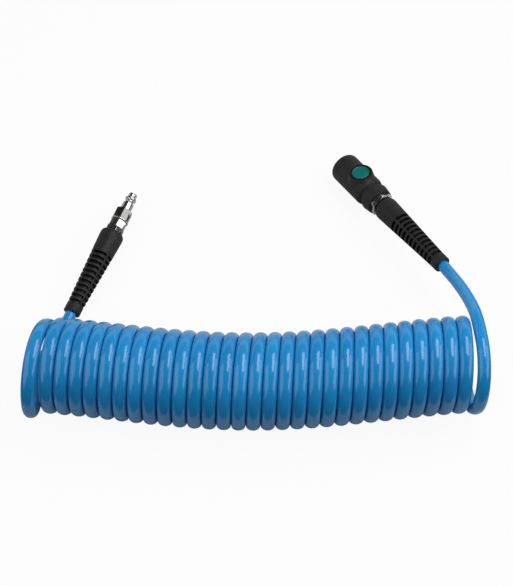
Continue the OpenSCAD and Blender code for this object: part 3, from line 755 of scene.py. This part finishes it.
def make_floor(studio, colours):
    bm = bmesh.new()
    bmesh.ops.create_grid(bm, x_segments=2, y_segments=2, size=FLOOR_HALF)
    floor = finish_object("floor", bm)
    f = Finish("white_floor", colours.floor, 0.7)
    f.set("Specular IOR Level", 0.2)
    f.tint(f.noise(f.coordinates(), 3.0, detail=3.0), shade(colours.floor, 0.985), colours.floor)
    white = f.node("ShaderNodeEmission", Color=(1, 1, 1, 1), Strength=1.0)
    paths = f.node("ShaderNodeLightPath")
    lift = f.node("ShaderNodeMath")
    lift.operation = "MULTIPLY"
    lift.inputs[1].default_value = studio.floor_lift
    f.link(paths.outputs["Is Camera Ray"], lift.inputs[0])
    both = f.node("ShaderNodeMixShader")
    f.link(lift.outputs["Value"], both.inputs[0])
    f.link(f.shader.outputs["BSDF"], both.inputs[1])
    f.link(white.outputs["Emission"], both.inputs[2])
    place = f.node("ShaderNodeSeparateXYZ")
    f.link(f.coordinates(), place.inputs["Vector"])
    front = f.spread(place.outputs["Y"], 0.95, 0.3, from_low=FLAG_EDGE - 0.02, from_high=FLAG_EDGE)
    aside = f.node("ShaderNodeMath")
    aside.operation = "ABSOLUTE"
    f.link(place.outputs["X"], aside.inputs[0])
    sides = f.spread(aside.outputs["Value"], 0.0, 0.95, from_low=0.24, from_high=0.32)
    dimmed = f.node("ShaderNodeMath")
    dimmed.operation = "MAXIMUM"
    f.link(front, dimmed.inputs[0])
    f.link(sides, dimmed.inputs[1])
    unseen = f.spread(paths.outputs["Is Camera Ray"], 1.0, 0.0)
    flagged = f.node("ShaderNodeMath")
    flagged.operation = "MULTIPLY"
    f.link(unseen, flagged.inputs[0])
    f.link(dimmed.outputs["Value"], flagged.inputs[1])
    dark = f.node("ShaderNodeEmission", Color=(0, 0, 0, 1), Strength=0.0)
    seen = f.node("ShaderNodeMixShader")
    f.link(flagged.outputs["Value"], seen.inputs[0])
    f.link(both.outputs["Shader"], seen.inputs[1])
    f.link(dark.outputs["Emission"], seen.inputs[2])
    f.link(seen.outputs["Shader"], f.tree.nodes["Material Output"].inputs["Surface"])
    floor.data.materials.append(f.material)


def softbox(name, place, target, width, height, radiance):
    """A rectangular lamp, as wide along X and high along Y, of a radiance where 1 shows as white."""
    lamp = bpy.data.lights.new(name, "AREA")
    lamp.shape = "RECTANGLE"
    lamp.size = width
    lamp.size_y = height
    lamp.energy = radiance * math.pi * width * height
    holder = bpy.data.objects.new(name, lamp)
    bpy.context.scene.collection.objects.link(holder)
    back = (Vector(place) - Vector(target)).normalized()
    up = across(Vector((0, 1, 0)), back)
    turned = Matrix((up.cross(back), up, back)).transposed().to_4x4()
    holder.matrix_world = Matrix.Translation(place) @ turned


def make_world(studio):
    """White for the camera, and for reflections a dark room with a pale wall low down behind."""
    world = bpy.data.worlds.new("studio")
    bpy.context.scene.world = world
    world.use_nodes = True
    tree = world.node_tree
    tree.nodes.clear()

    def node(kind):
        return tree.nodes.new(kind)

    where = node("ShaderNodeTexCoord")
    parts = node("ShaderNodeSeparateXYZ")
    tree.links.new(where.outputs["Generated"], parts.inputs["Vector"])
    height = node("ShaderNodeValToRGB")
    stops = height.color_ramp
    stops.elements[0].position = 0.33
    stops.elements[0].color = (0.6, 0.6, 0.6, 1)
    stops.elements[1].position = 0.45
    stops.elements[1].color = (0.03, 0.03, 0.03, 1)
    tree.links.new(parts.outputs["Z"], height.inputs["Fac"])

    def by_depth(front, back, at_front, at_back):
        ramp = node("ShaderNodeMapRange")
        numbers = {"From Min": front, "From Max": back, "To Min": at_front, "To Max": at_back}
        for socket, number in numbers.items():
            ramp.inputs[socket].default_value = number
        tree.links.new(parts.outputs["Y"], ramp.inputs["Value"])
        return ramp.outputs["Result"]

    room_colour = node("ShaderNodeVectorMath")
    room_colour.operation = "SCALE"
    tree.links.new(height.outputs["Color"], room_colour.inputs[0])
    tree.links.new(by_depth(0.1, 0.5, 0.05, 1.0), room_colour.inputs["Scale"])
    room = node("ShaderNodeBackground")
    tree.links.new(room_colour.outputs["Vector"], room.inputs["Color"])
    plain = node("ShaderNodeBackground")
    tree.links.new(by_depth(-0.4, 0.6, 0.1 * studio.fill, 2 * studio.fill), plain.inputs["Strength"])
    white = node("ShaderNodeBackground")
    white.inputs["Color"].default_value = (1, 1, 1, 1)
    paths = node("ShaderNodeLightPath")
    mirrored = node("ShaderNodeMath")
    mirrored.operation = "MAXIMUM"
    tree.links.new(paths.outputs["Is Glossy Ray"], mirrored.inputs[0])
    tree.links.new(paths.outputs["Is Transmission Ray"], mirrored.inputs[1])
    inner = node("ShaderNodeMixShader")
    tree.links.new(mirrored.outputs["Value"], inner.inputs[0])
    tree.links.new(plain.outputs["Background"], inner.inputs[1])
    tree.links.new(room.outputs["Background"], inner.inputs[2])
    outer = node("ShaderNodeMixShader")
    tree.links.new(paths.outputs["Is Camera Ray"], outer.inputs[0])
    tree.links.new(inner.outputs["Shader"], outer.inputs[1])
    tree.links.new(white.outputs["Background"], outer.inputs[2])
    out = node("ShaderNodeOutputWorld")
    tree.links.new(outer.outputs["Shader"], out.inputs["Surface"])


# ---- Operators ----
class AIRHOSE_OT_stage(bpy.types.Operator):
    """Adds the camera, the floor, the lamps and the room"""
    bl_idname = "air_hose.stage"
    bl_label = "Add Stage"

    def execute(self, context):
        s = settings()
        context.scene.view_settings.view_transform = "Standard"
        make_camera(s.studio)
        make_floor(s.studio, s.finish)
        middle = (0, -0.1, 0.04)
        softbox("lamp_overhead", (0.52, 0.30, 1.37), middle, 0.68, 1.15, s.studio.overhead)
        softbox("lamp_right", (1.56, -0.36, 1.05), middle, 1.15, 2.2, s.studio.side)
        softbox("lamp_left", (-1.32, -0.5, 1.05), middle, 1.7, 2.0, s.studio.soft)
        make_world(s.studio)
        return {"FINISHED"}


SQUARENESS = 2.1           # exponent of the wound section's outline; 2 is an ellipse
TAIL_STEPS = 4              # sections between two points of a route
SETTLE = 0.02               # over which a free end returns to its round section


def section(station, sides, squareness):
    """The corners of one section of the hose, none of them below the ground."""
    centre, direction, outward, half_width, half_thickness = station
    side = direction.cross(outward)
    corners = []
    for k in range(sides):
        angle = math.tau * k / sides
        c, s = math.cos(angle), math.sin(angle)
        x = math.copysign(abs(c) ** (2 / squareness), c) * half_width
        y = math.copysign(abs(s) ** (2 / squareness), s) * half_thickness
        corner = centre + x * side + y * outward
        corner.z = max(corner.z, 0.0)
        corners.append(corner)
    return corners


def smooth_route(points, first, final, steps):
    """(point, direction) pairs on one smooth curve through the points."""
    last = len(points) - 1
    slopes = []
    for i, point in enumerate(points):
        if i == 0:
            slopes.append(first * (points[1] - point).length)
        elif i == last:
            slopes.append(final * (point - points[i - 1]).length)
        else:
            slopes.append((points[i + 1] - points[i - 1]) / 2)
    line = []
    for i in range(last):
        a, b, m, n = points[i], points[i + 1], slopes[i], slopes[i + 1]
        for k in range(steps):
            s = k / steps
            point = (
                (2 * s**3 - 3 * s**2 + 1) * a + (s**3 - 2 * s**2 + s) * m
                + (3 * s**2 - 2 * s**3) * b + (s**3 - s**2) * n
            )
            slope = (
                (6 * s**2 - 6 * s) * a + (3 * s**2 - 4 * s + 1) * m
                + (6 * s - 6 * s**2) * b + (3 * s**2 - 2 * s) * n
            )
            line.append((point, slope.normalized()))
    line.append((points[-1], final))
    return line


def tail_stations(points, first, final, outward):
    """Sections of a free end, which goes from the coil's oval section to a round one."""
    radius = settings().hose.diameter / 2
    stations = []
    run = 0.0
    before = None
    for point, direction in smooth_route(points, first, final, TAIL_STEPS):
        if before is not None:
            run += (point - before).length
        before = point
        outward = across(outward, direction)
        settled = smooth_step(run / SETTLE)
        stations.append((
            point, direction, outward,
            radius * mix(END_WIDTH, 1.0, settled), radius * mix(END_THICKNESS, 1.0, settled),
        ))
    return stations


def hose_stations():
    """(section, squareness) along the whole free hose, from the plug's cuff to the coupler's."""
    coil = Coil()
    start, end = coil.ends()
    count = round(coil.last * coil.sizes.rings)
    plug_points = [start + Vector(p) for p in PLUG_ROUTE[:-1]] + [plug_cuff()]
    coupler_points = [end + Vector(p) for p in COUPLER_ROUTE]
    plug_axis = plug_frame().to_3x3() @ Vector((0, 0, 1))
    coupler_axis = coupler_frame().to_3x3() @ Vector((0, 0, 1))
    first, final = coil.station(0), coil.station(coil.last)
    stations = []
    for point, direction, outward, w, h in reversed(
            tail_stations(plug_points, -first[1], plug_axis, first[2])):
        stations.append(((point, -direction, outward, w, h), 2.0))
    run = coil.sizes.diameter
    stations += [(coil.station(0, -run * k / 3), 2.0) for k in (2, 1)]
    for i in range(count + 1):
        t = coil.last * i / count
        stations.append((coil.station(t), mix(2.0, SQUARENESS, coil.wound(t))))
    stations += [(coil.station(coil.last, run * k / 3), 2.0) for k in (1, 2)]
    for station in tail_stations(coupler_points, final[1], coupler_axis, final[2]):
        stations.append((station, 2.0))
    return stations


class AIRHOSE_OT_hose(bpy.types.Operator):
    """Adds the hose: one tube from sleeve to sleeve, through every turn of the coil"""
    bl_idname = "air_hose.hose"
    bl_label = "Add Hose"

    def execute(self, context):
        sizes = settings().hose
        stations = hose_stations()
        path = [station[0] for station, _ in stations]
        along = [0.0]
        for a, b in zip(path, path[1:]):
            along.append(along[-1] + (b - a).length)
        bm = tube([section(s, sizes.sides, q) for s, q in stations], along)
        hose = add_piece(
            "hose", bm, None, finish(polyurethane), "hose",
            ("hose_coil", "plug_tail", "coupler_tail"),
        )
        plug_cuff()
        return {"FINISHED"}


SHOULDER = 4.4 * MM         # length of the sleeve's rounded shoulder
CUFF_ROUND = 0.8 * MM
SLOT_START = 30.5 * MM      # from the sleeve's face to its first row
SLOT_COLUMNS = 4
SLOT_WALL = 0.05 * MM       # how far a slot's walls lean
SLEEVE_STEPS = 120
POCKET = 38 * MM
POCKET_RADIUS = 8.05 * MM
HOSE_HOLE = 6.2 * MM


def sleeve_radius(depth):
    s = settings().sleeve
    share = clamp((depth - CONE_START) / (s.length - s.cuff_length - CONE_START), 0, 1)
    return mix(s.diameter, s.cuff_diameter, share) / 2


def sleeve_outline():
    """(radius, z) of the sleeve, with a ring at each edge of each row of slots."""
    s = settings().sleeve
    face, thick, cuff = s.face_diameter / 2, s.diameter / 2, s.cuff_diameter / 2
    outline = [(POCKET_RADIUS, -s.face_back)]
    outline += arc((face, -SHOULDER - s.face_back), (thick - face, SHOULDER), 90, 0)
    depths = [CONE_START, 14 * MM, 20 * MM, 25 * MM]
    for row in range(s.slot_rows):
        depths += [SLOT_START + row * s.slot_pitch, SLOT_START + row * s.slot_pitch + s.slot_width]
    outline += [(sleeve_radius(depth), -depth) for depth in depths]
    outline.append((cuff, -s.length + 6 * MM))
    outline += arc((cuff - CUFF_ROUND, CUFF_ROUND - s.length), (CUFF_ROUND, CUFF_ROUND), 0, -90, 4)
    outline += [
        (HOSE_HOLE, -s.length), (HOSE_HOLE, -POCKET), (POCKET_RADIUS, -POCKET),
    ]
    return outline


def slot_place(centre):
    """(row, cut) of the slot that a face of the sleeve's outside lies in, or None."""
    s = settings().sleeve
    depth = -centre.z
    radius = math.hypot(centre.x, centre.y)
    row, along = divmod(depth - SLOT_START, s.slot_pitch)
    if not 0 <= row < s.slot_rows or along > s.slot_width or radius < sleeve_radius(depth) - MM:
        return None
    angle = math.atan2(centre.y, centre.x)
    column = round(angle / (math.tau / SLOT_COLUMNS))
    off = abs(angle - column * math.tau / SLOT_COLUMNS)
    if off > s.slot_arc / 2:
        return None
    return mix(s.slot_depth, s.cuff_slot_depth, row / s.slot_rows)


def make_sleeve(name, node, place, turned):
    s = settings().sleeve
    bm = lathe(sleeve_outline(), SLEEVE_STEPS)
    slots = {f: slot_place(f.calc_center_median()) for f in bm.faces}
    slots = {f: cut for f, cut in slots.items() if cut is not None}
    faces = list(slots)
    bmesh.ops.inset_region(bm, faces=faces, thickness=SLOT_WALL, use_even_offset=True)
    cuts = {}
    for face in faces:
        for vert in face.verts:
            cuts[vert] = slots[face]
    for vert, cut in cuts.items():
        radius = math.hypot(vert.co.x, vert.co.y)
        vert.co.x *= (radius - cut) / radius
        vert.co.y *= (radius - cut) / radius
    # Painted shade: faces down in the slots take the second, near-black finish, which stands in for
    # the shade in the slots.
    for face in bm.faces:
        face.material_index = any(vert in cuts for vert in face.verts)
    bmesh.ops.recalc_face_normals(bm, faces=bm.faces)
    piece = add_piece(
        name, bm, place @ Matrix.Rotation(turned, 4, "Z"), finish(moulded_rubber, "rubber"),
        "hose", (node,),
    )
    # The second finish is the painted shade of the slots.
    piece.data.materials.append(finish(moulded_rubber, "slot"))
    bevel(piece, 0.3 * MM, segments=3, angle=28)
    return piece


class AIRHOSE_OT_sleeves(bpy.types.Operator):
    """Adds the two rubber bend sleeves with their rows of slots"""
    bl_idname = "air_hose.sleeves"
    bl_label = "Add Bend Sleeves"

    def execute(self, context):
        s = settings().sleeve
        make_sleeve("plug_sleeve", "plug_bend_sleeve", plug_frame(), s.plug_turn)
        make_sleeve("coupler_sleeve", "coupler_bend_sleeve", coupler_frame(), s.coupler_turn)
        return {"FINISHED"}


CHAMFER_RUN = 1.7           # a turned chamfer is this many times as wide as it is high


def hex_outline(across_flats, low, high, chamfer_low, chamfer_high):
    """Outside of a hexagonal bar before its flats are cut: its corners are turned off."""
    corner = across_flats / math.sqrt(3)
    return [
        (corner - chamfer_low * CHAMFER_RUN, low), (corner, low + chamfer_low),
        (corner, high - chamfer_high), (corner - chamfer_high * CHAMFER_RUN, high),
    ]


NUT_SPIGOT = 5 * MM
NUT_SPIGOT_RADIUS = 7.8 * MM
NUT_BORE = 6.6 * MM
WASHER_GAP = 0.5 * MM       # a shadow line in front of the washer
HEX_STEPS = 96


class AIRHOSE_OT_plug(bpy.types.Operator):
    """Adds the steel plug, its sealing washer and the hose nut"""
    bl_idname = "air_hose.plug"
    bl_label = "Add Plug"

    def execute(self, context):
        p = settings().plug
        place = plug_frame()
        metal = finish(nickel, "plug")
        nut_end = p.flange_length + p.nut_length

        back = -settings().sleeve.face_back
        flange = lathe(
            [(NUT_BORE, -NUT_SPIGOT), (NUT_SPIGOT_RADIUS, -NUT_SPIGOT), (NUT_SPIGOT_RADIUS, back)]
            + hex_outline(p.flange_af, back, p.flange_length, 0.4 * MM, 0.8 * MM)
            + [(NUT_BORE, p.flange_length)],
            HEX_STEPS,
        )
        cut_flats(flange, p.flange_af, p.flange_turn, back - 0.01 * MM, p.flange_length)
        front = lathe(
            [(NUT_BORE, p.flange_length - MM)]
            + hex_outline(p.nut_af, p.flange_length - MM, nut_end, 0.2 * MM, 1.4 * MM)
            + [(NUT_BORE, nut_end)],
            HEX_STEPS,
        )
        cut_flats(front, p.nut_af, p.hex_turn, 0, nut_end)
        nut = add_piece(
            "hose_nut_steel", join_solids(flange, [front], "UNION"), place, metal,
            "hose", ("hose_nut",),
        )
        bevel(nut, 0.18 * MM)

        washer_radius = p.nut_af * 1.17 / 2
        washer_end = nut_end + p.washer - WASHER_GAP
        washer_outline = soften(
            [(NUT_BORE, nut_end), (washer_radius, nut_end), (washer_radius, washer_end),
             (NUT_BORE, washer_end)], 0.25 * MM)
        add_piece(
            "plug_washer", lathe(washer_outline), place, metal, "hose",
            ("plug_seal_washer",),
        )

        body = add_piece(
            "plug_steel", self.body(p, nut_end + p.washer), place, metal,
            "hose", ("plug_body",),
        )
        # Second finish: the darkened nickel of the painted shade on the hexagon's flats.
        body.data.materials.append(finish(nickel, "plug_hexagon"))
        bevel(body, 0.16 * MM)
        return {"FINISHED"}

    def body(self, p, start):
        """The plug: thread, hexagon, shank, locking groove and shoulder, and tip."""
        shank, groove, tip = p.diameter / 2, p.groove_diameter / 2, p.tip_diameter / 2
        bore = p.bore / 2
        thread = 6.55 * MM
        edge = 0.5 * MM
        hex_end = start + p.hex_length
        shank_end = hex_end + p.shank_length
        groove_end = shank_end + p.groove_width
        shoulder_end = groove_end + p.shoulder_length
        end = shoulder_end + p.tip_length
        outline = [(bore, 2.4 * MM), (thread, 2.4 * MM), (thread, start)]
        outline += hex_outline(p.body_af, start, hex_end, 0.7 * MM, 1.1 * MM)
        outline += soften(
            [(shank, hex_end, 0.3 * MM), (shank, shank_end - edge), (groove, shank_end + 1.4 * MM),
             (groove, groove_end - 0.4 * MM), (shank - edge, groove_end), (shank, groove_end + edge),
             (shank, shoulder_end - edge), (shank - edge, shoulder_end, 0.2 * MM),
             (tip, shoulder_end + 0.8 * MM, 0.4 * MM), (tip, end, 0.9 * MM), (bore, end, 0.4 * MM),
             (bore, hex_end, 0)], 0.45 * MM)
        bm = lathe(outline, HEX_STEPS)
        cut_flats(bm, p.body_af, p.hex_turn, start - 0.01 * MM, hex_end + 0.01 * MM)
        # Painted shade: faces on the hexagon's flats take the darkened nickel.
        for face in bm.faces:
            centre = face.calc_center_median()
            hexagon_painted_shade = start < centre.z < hex_end and math.hypot(centre.x, centre.y) > shank + edge
            face.material_index = hexagon_painted_shade
        return bm


TAIL_THREAD_RADIUS = 10 * MM
TAIL_BORE = 6.0 * MM
CHAMBER_START = 13 * MM
CHAMBER_RADIUS = 6.9 * MM
SPRING_BORE = 8.3 * MM
COLLAR_NARROWING = 1.1 * MM     # of the collar's radius, towards its rear
COLLAR_FRONT = 5 * MM           # length of its rounded front


class AIRHOSE_OT_coupler_tail(bpy.types.Operator):
    """Adds the coupler's steel tail piece and its rear collar"""
    bl_idname = "air_hose.coupler_tail"
    bl_label = "Add Coupler Tail"

    def execute(self, context):
        c = settings().coupler
        at = CouplerPlaces()
        place = coupler_frame()
        outline = hex_outline(c.tail_af, at.hex_start, at.hex_top, MM, 0.2 * MM)
        outline += [
            (TAIL_THREAD_RADIUS, at.hex_top), (TAIL_THREAD_RADIUS, at.tail_front),
            (SPRING_BORE, at.tail_front), (SPRING_BORE, at.spring_step),
            (CHAMBER_RADIUS, at.spring_step), (CHAMBER_RADIUS, CHAMBER_START),
            (TAIL_BORE, CHAMBER_START), (TAIL_BORE, at.hex_start),
        ]
        bm = lathe(outline, HEX_STEPS)
        cut_flats(bm, c.tail_af, c.tail_turn, at.hex_start - 0.01 * MM, at.hex_top + 0.01 * MM)
        tail = add_piece(
            "coupler_tail_piece", bm, place, finish(nickel, "coupler"), "coupler",
            ("tail_hex",),
        )
        bevel(tail, 0.2 * MM)

        r, neck = c.collar_diameter / 2, c.neck_diameter / 2
        inner = TAIL_THREAD_RADIUS + 0.05 * MM
        low = at.hex_top + 0.1 * MM
        outline = [(inner, low)]
        outline += arc((r - COLLAR_NARROWING - MM, low + MM), (MM, MM), -90, 0)
        outline += arc((neck, at.collar_top - COLLAR_FRONT), (r - neck, COLLAR_FRONT), 0, 90, 12)
        outline.append((inner, at.collar_top))
        add_piece(
            "coupler_collar", lathe(outline), place, finish(moulded_rubber, "shell"), "coupler",
            ("rear_collar",),
        )
        return {"FINISHED"}


SHELL_SHOULDER = 5.5 * MM
BOSS_ROUND = 1.2 * MM
BUTTON_GAP = 0.2 * MM
BLEND_PASSES = 30
BLEND_REACH = 4.5 * MM
POLISH_PASSES = 4


class AIRHOSE_OT_coupler_body(bpy.types.Operator):
    """Adds the coupler's shell: a turned body and the button's boss, blended into one moulding"""
    bl_idname = "air_hose.coupler_body"
    bl_label = "Add Coupler Body"

    def execute(self, context):
        c = settings().coupler
        at = CouplerPlaces()
        local_button = Matrix.Translation((0, 0, at.button)) @ Matrix.Rotation(math.pi / 2, 4, "X")
        boss = lathe(self.boss_outline(c), 96, on_axis=True)
        bmesh.ops.transform(boss, matrix=local_button, verts=boss.verts)
        shell = join_solids(lathe(self.body_outline(c, at), 128, on_axis=True), [boss], "UNION")
        pocket = lathe(
            [(0, 0), (c.button_diameter / 2 + BUTTON_GAP, 0),
             (c.button_diameter / 2 + BUTTON_GAP, c.diameter), (0, c.diameter)], 96, on_axis=True)
        bmesh.ops.transform(pocket, matrix=local_button, verts=pocket.verts)
        socket = lathe(
            [(0, at.neck_start - MM), (c.socket_diameter / 2, at.neck_start - MM),
             (c.socket_diameter / 2, at.socket_front), (0, at.socket_front)], 96, on_axis=True)
        shell = join_solids(shell, [socket, pocket], "DIFFERENCE")
        shell = self.blend(shell, c, at)
        add_piece(
            "coupler_shell", shell, coupler_frame(), finish(moulded_rubber, "shell"), "coupler",
            ("coupler_body",),
        )
        return {"FINISHED"}

    def body_outline(self, c, at):
        r, neck, mouth = c.diameter / 2, c.neck_diameter / 2, c.mouth_diameter / 2
        return [
            (0, at.neck_start), (neck - 0.5 * MM, at.neck_start), (neck, at.neck_start + 0.5 * MM),
            *arc((neck, at.body_start + SHELL_SHOULDER), (r - neck, SHELL_SHOULDER), -90, 0),
            *arc((r - NOSE_ROUND, at.nose - NOSE_ROUND), (NOSE_ROUND, NOSE_ROUND), 0, 90),
            *arc((mouth + MM, at.nose - MM), (MM, MM), 90, 180, 4),
            (mouth, at.socket_front - MM), (0, at.socket_front - MM),
        ]

    def boss_outline(self, c):
        r = c.boss_diameter / 2
        top = c.diameter / 2 + c.boss_height
        return [
            (0, 6 * MM), (r + 1.6 * MM, 6 * MM), (r + MM, 12 * MM), (r + 0.3 * MM, 15 * MM),
            *arc((r - BOSS_ROUND, top - BOSS_ROUND), (BOSS_ROUND, BOSS_ROUND), 0, 90, 4), (0, top),
        ]

    def blend(self, shell, c, at):
        """Turns the joined solids into one even skin, and smooths it where the boss meets the body."""
        work = finish_object("work", shell)
        remesh = work.modifiers.new("skin", "REMESH")
        remesh.mode = "VOXEL"
        remesh.voxel_size = c.voxel
        apply_modifiers(work)
        bm = bmesh.new()
        bm.from_mesh(work.data)
        mesh = work.data
        bpy.data.objects.remove(work)
        bpy.data.meshes.remove(mesh)
        boss = c.boss_diameter / 2
        foot = []
        for vert in bm.verts:
            x, up, z = vert.co.x, -vert.co.y, vert.co.z - at.button
            out = math.hypot(x, z)
            high = up > c.diameter / 2 + c.boss_height - 0.9 * MM
            if up > 4 * MM and boss - 0.3 * MM < out < boss + BLEND_REACH and not high:
                foot.append(vert)
        for _ in range(BLEND_PASSES):
            bmesh.ops.smooth_vert(
                bm, verts=foot, factor=0.5, use_axis_x=True, use_axis_y=True, use_axis_z=True)
        for _ in range(POLISH_PASSES):
            bmesh.ops.smooth_vert(
                bm, verts=bm.verts, factor=0.5, use_axis_x=True, use_axis_y=True, use_axis_z=True)
        return bm


BUTTON_SEAT = 1 * MM        # from the body's surface down to the button's underside
BUTTON_PROUD = 0.6 * MM
RIM_HEIGHT = 0.6 * MM
DISH = 0.9 * MM
DISH_RADIUS = 55 * MM


class AIRHOSE_OT_button(bpy.types.Operator):
    """Adds the release button and the rim that holds it"""
    bl_idname = "air_hose.button"
    bl_label = "Add Release Button"

    def execute(self, context):
        c = settings().coupler
        place = button_frame(CouplerPlaces().button)
        r = c.button_diameter / 2
        base = c.diameter / 2 + c.boss_height
        top = base + BUTTON_PROUD
        under = c.diameter / 2 - BUTTON_SEAT
        outline = [(0, under), (r - 0.3 * MM, under), (r, under + 0.3 * MM)]
        edge = 0.8 * MM
        outline += arc((r - edge, top - edge), (edge, edge), 0, 90, 6)
        for k in range(9):
            radius = (r - edge) * (1 - k / 8) * 0.98
            outline.append((radius, top - DISH + radius**2 / (2 * DISH_RADIUS)))
        add_piece(
            "button_cap", lathe(outline, 96, on_axis=True), place, finish(button_plastic),
            "button", ("release_button",),
        )
        outer = c.boss_diameter / 2 - BOSS_ROUND
        rim = lathe(soften(
            [(r + BUTTON_GAP + 0.1 * MM, base), (outer, base), (outer - 0.3 * MM, base + RIM_HEIGHT),
             (r + BUTTON_GAP + 0.3 * MM, base + RIM_HEIGHT)], 0.35 * MM))
        add_piece(
            "button_ring", rim, place, finish(seal_rubber), "coupler",
            ("button_rim",),
        )
        return {"FINISHED"}


SPRING_STEPS = 28           # sections along one curl
SPRING_SIDES = 12


def make_spring(name, node, place, diameter, wire, low, high, curls):
    """A compression spring between two heights."""
    radius = (diameter - wire) / 2
    count = curls * SPRING_STEPS
    first, last = low + wire / 2, high - wire / 2
    climb = (last - first) / (math.tau * curls)
    sections = []
    along = []
    for i in range(count + 1):
        angle = math.tau * i / SPRING_STEPS
        out = Vector((math.cos(angle), math.sin(angle), 0))
        centre = radius * out + Vector((0, 0, mix(first, last, i / count)))
        direction = Vector((-radius * out.y, radius * out.x, climb)).normalized()
        up = out.cross(direction)
        sections.append([
            centre + wire / 2 * (math.cos(b) * out - math.sin(b) * up)
            for b in (math.tau * j / SPRING_SIDES for j in range(SPRING_SIDES))
        ])
        along.append(angle * radius)
    piece = add_piece(
        name, tube(sections, along), place, finish(inner_metal, "spring"), "coupler",
        (node,),
    )
    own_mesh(piece)


class AIRHOSE_OT_springs(bpy.types.Operator):
    """Adds the button's spring and the valve's spring"""
    bl_idname = "air_hose.springs"
    bl_label = "Add Springs"

    def execute(self, context):
        at = CouplerPlaces()
        under = settings().coupler.diameter / 2 - BUTTON_SEAT
        make_spring(
            "button_coil_spring", "button_spring", button_frame(at.button - 4 * MM),
            7.4 * MM, 0.8 * MM, under - 4.7 * MM, under + 1.5 * MM, 3,
        )
        low = at.spring_step + 0.1 * MM
        make_spring(
            "valve_coil_spring", "valve_spring", coupler_frame(),
            16.3 * MM, 1.3 * MM, low, low + 10.8 * MM, 4,
        )
        return {"FINISHED"}


INNER_FINISHES = {
    "plug_hose_end": (polyurethane,),
    "coupler_hose_end": (polyurethane,),
    "plug_hose_barb": (inner_metal, "brass"),
    "plug_ferrule": (inner_metal, "brass"),
    "coupler_stem": (inner_metal, "brass"),
    "coupler_ferrule": (inner_metal, "brass"),
    "stem_seal": (seal_rubber,),
    "retaining_ring": (inner_metal, "spring"),
    "socket_sleeve": (nickel, "coupler"),
    "locking_slide": (inner_metal, "spring"),
    "lip_seal": (seal_rubber,),
    "valve_seal": (seal_rubber,),
    "valve_poppet": (inner_metal, "brass"),
}


class AIRHOSE_OT_inner_pieces(bpy.types.Operator):
    """Gives the inner pieces of the fittings their finishes"""
    bl_idname = "air_hose.inner_pieces"
    bl_label = "Finish Inner Pieces"

    def execute(self, context):
        for name, (maker, *key) in INNER_FINISHES.items():
            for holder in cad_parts[name].material_slots:
                holder.material = finish(maker, *key)
        return {"FINISHED"}


OPERATORS = (
    AIRHOSE_OT_stage, AIRHOSE_OT_hose, AIRHOSE_OT_sleeves, AIRHOSE_OT_plug,
    AIRHOSE_OT_coupler_tail, AIRHOSE_OT_coupler_body, AIRHOSE_OT_button, AIRHOSE_OT_springs,
    AIRHOSE_OT_inner_pieces,
)


class AIRHOSE_PT_panel(bpy.types.Panel):
    """Lists the operators and the settings"""
    bl_idname = "AIRHOSE_PT_panel"
    bl_label = "Coiled Air Hose"
    bl_space_type = "VIEW_3D"
    bl_region_type = "UI"
    bl_category = "Air Hose"

    def draw(self, context):
        column = self.layout.column(align=True)
        for operator in OPERATORS:
            column.operator(operator.bl_idname)
        for group in ("hose", "sleeve", "plug", "coupler", "finish", "studio"):
            box = self.layout.box()
            box.label(text=group.title())
            chosen = getattr(context.scene.air_hose, group)
            for name in chosen.__annotations__:
                box.prop(chosen, name)


CLASSES = (
    HoseSizes, SleeveSizes, PlugSizes, CouplerSizes, Finishes, Studio, AirHose, *OPERATORS,
    AIRHOSE_PT_panel,
)


def register():
    for kind in CLASSES:
        bpy.utils.register_class(kind)
    bpy.types.Scene.air_hose = PointerProperty(type=AirHose)


def unregister():
    del bpy.types.Scene.air_hose
    for kind in reversed(CLASSES):
        bpy.utils.unregister_class(kind)


def main():
    register()
    for operator in OPERATORS:
        group, name = operator.bl_idname.split(".")
        getattr(getattr(bpy.ops, group), name)()
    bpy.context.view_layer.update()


if __name__ == "__main__":
    main()
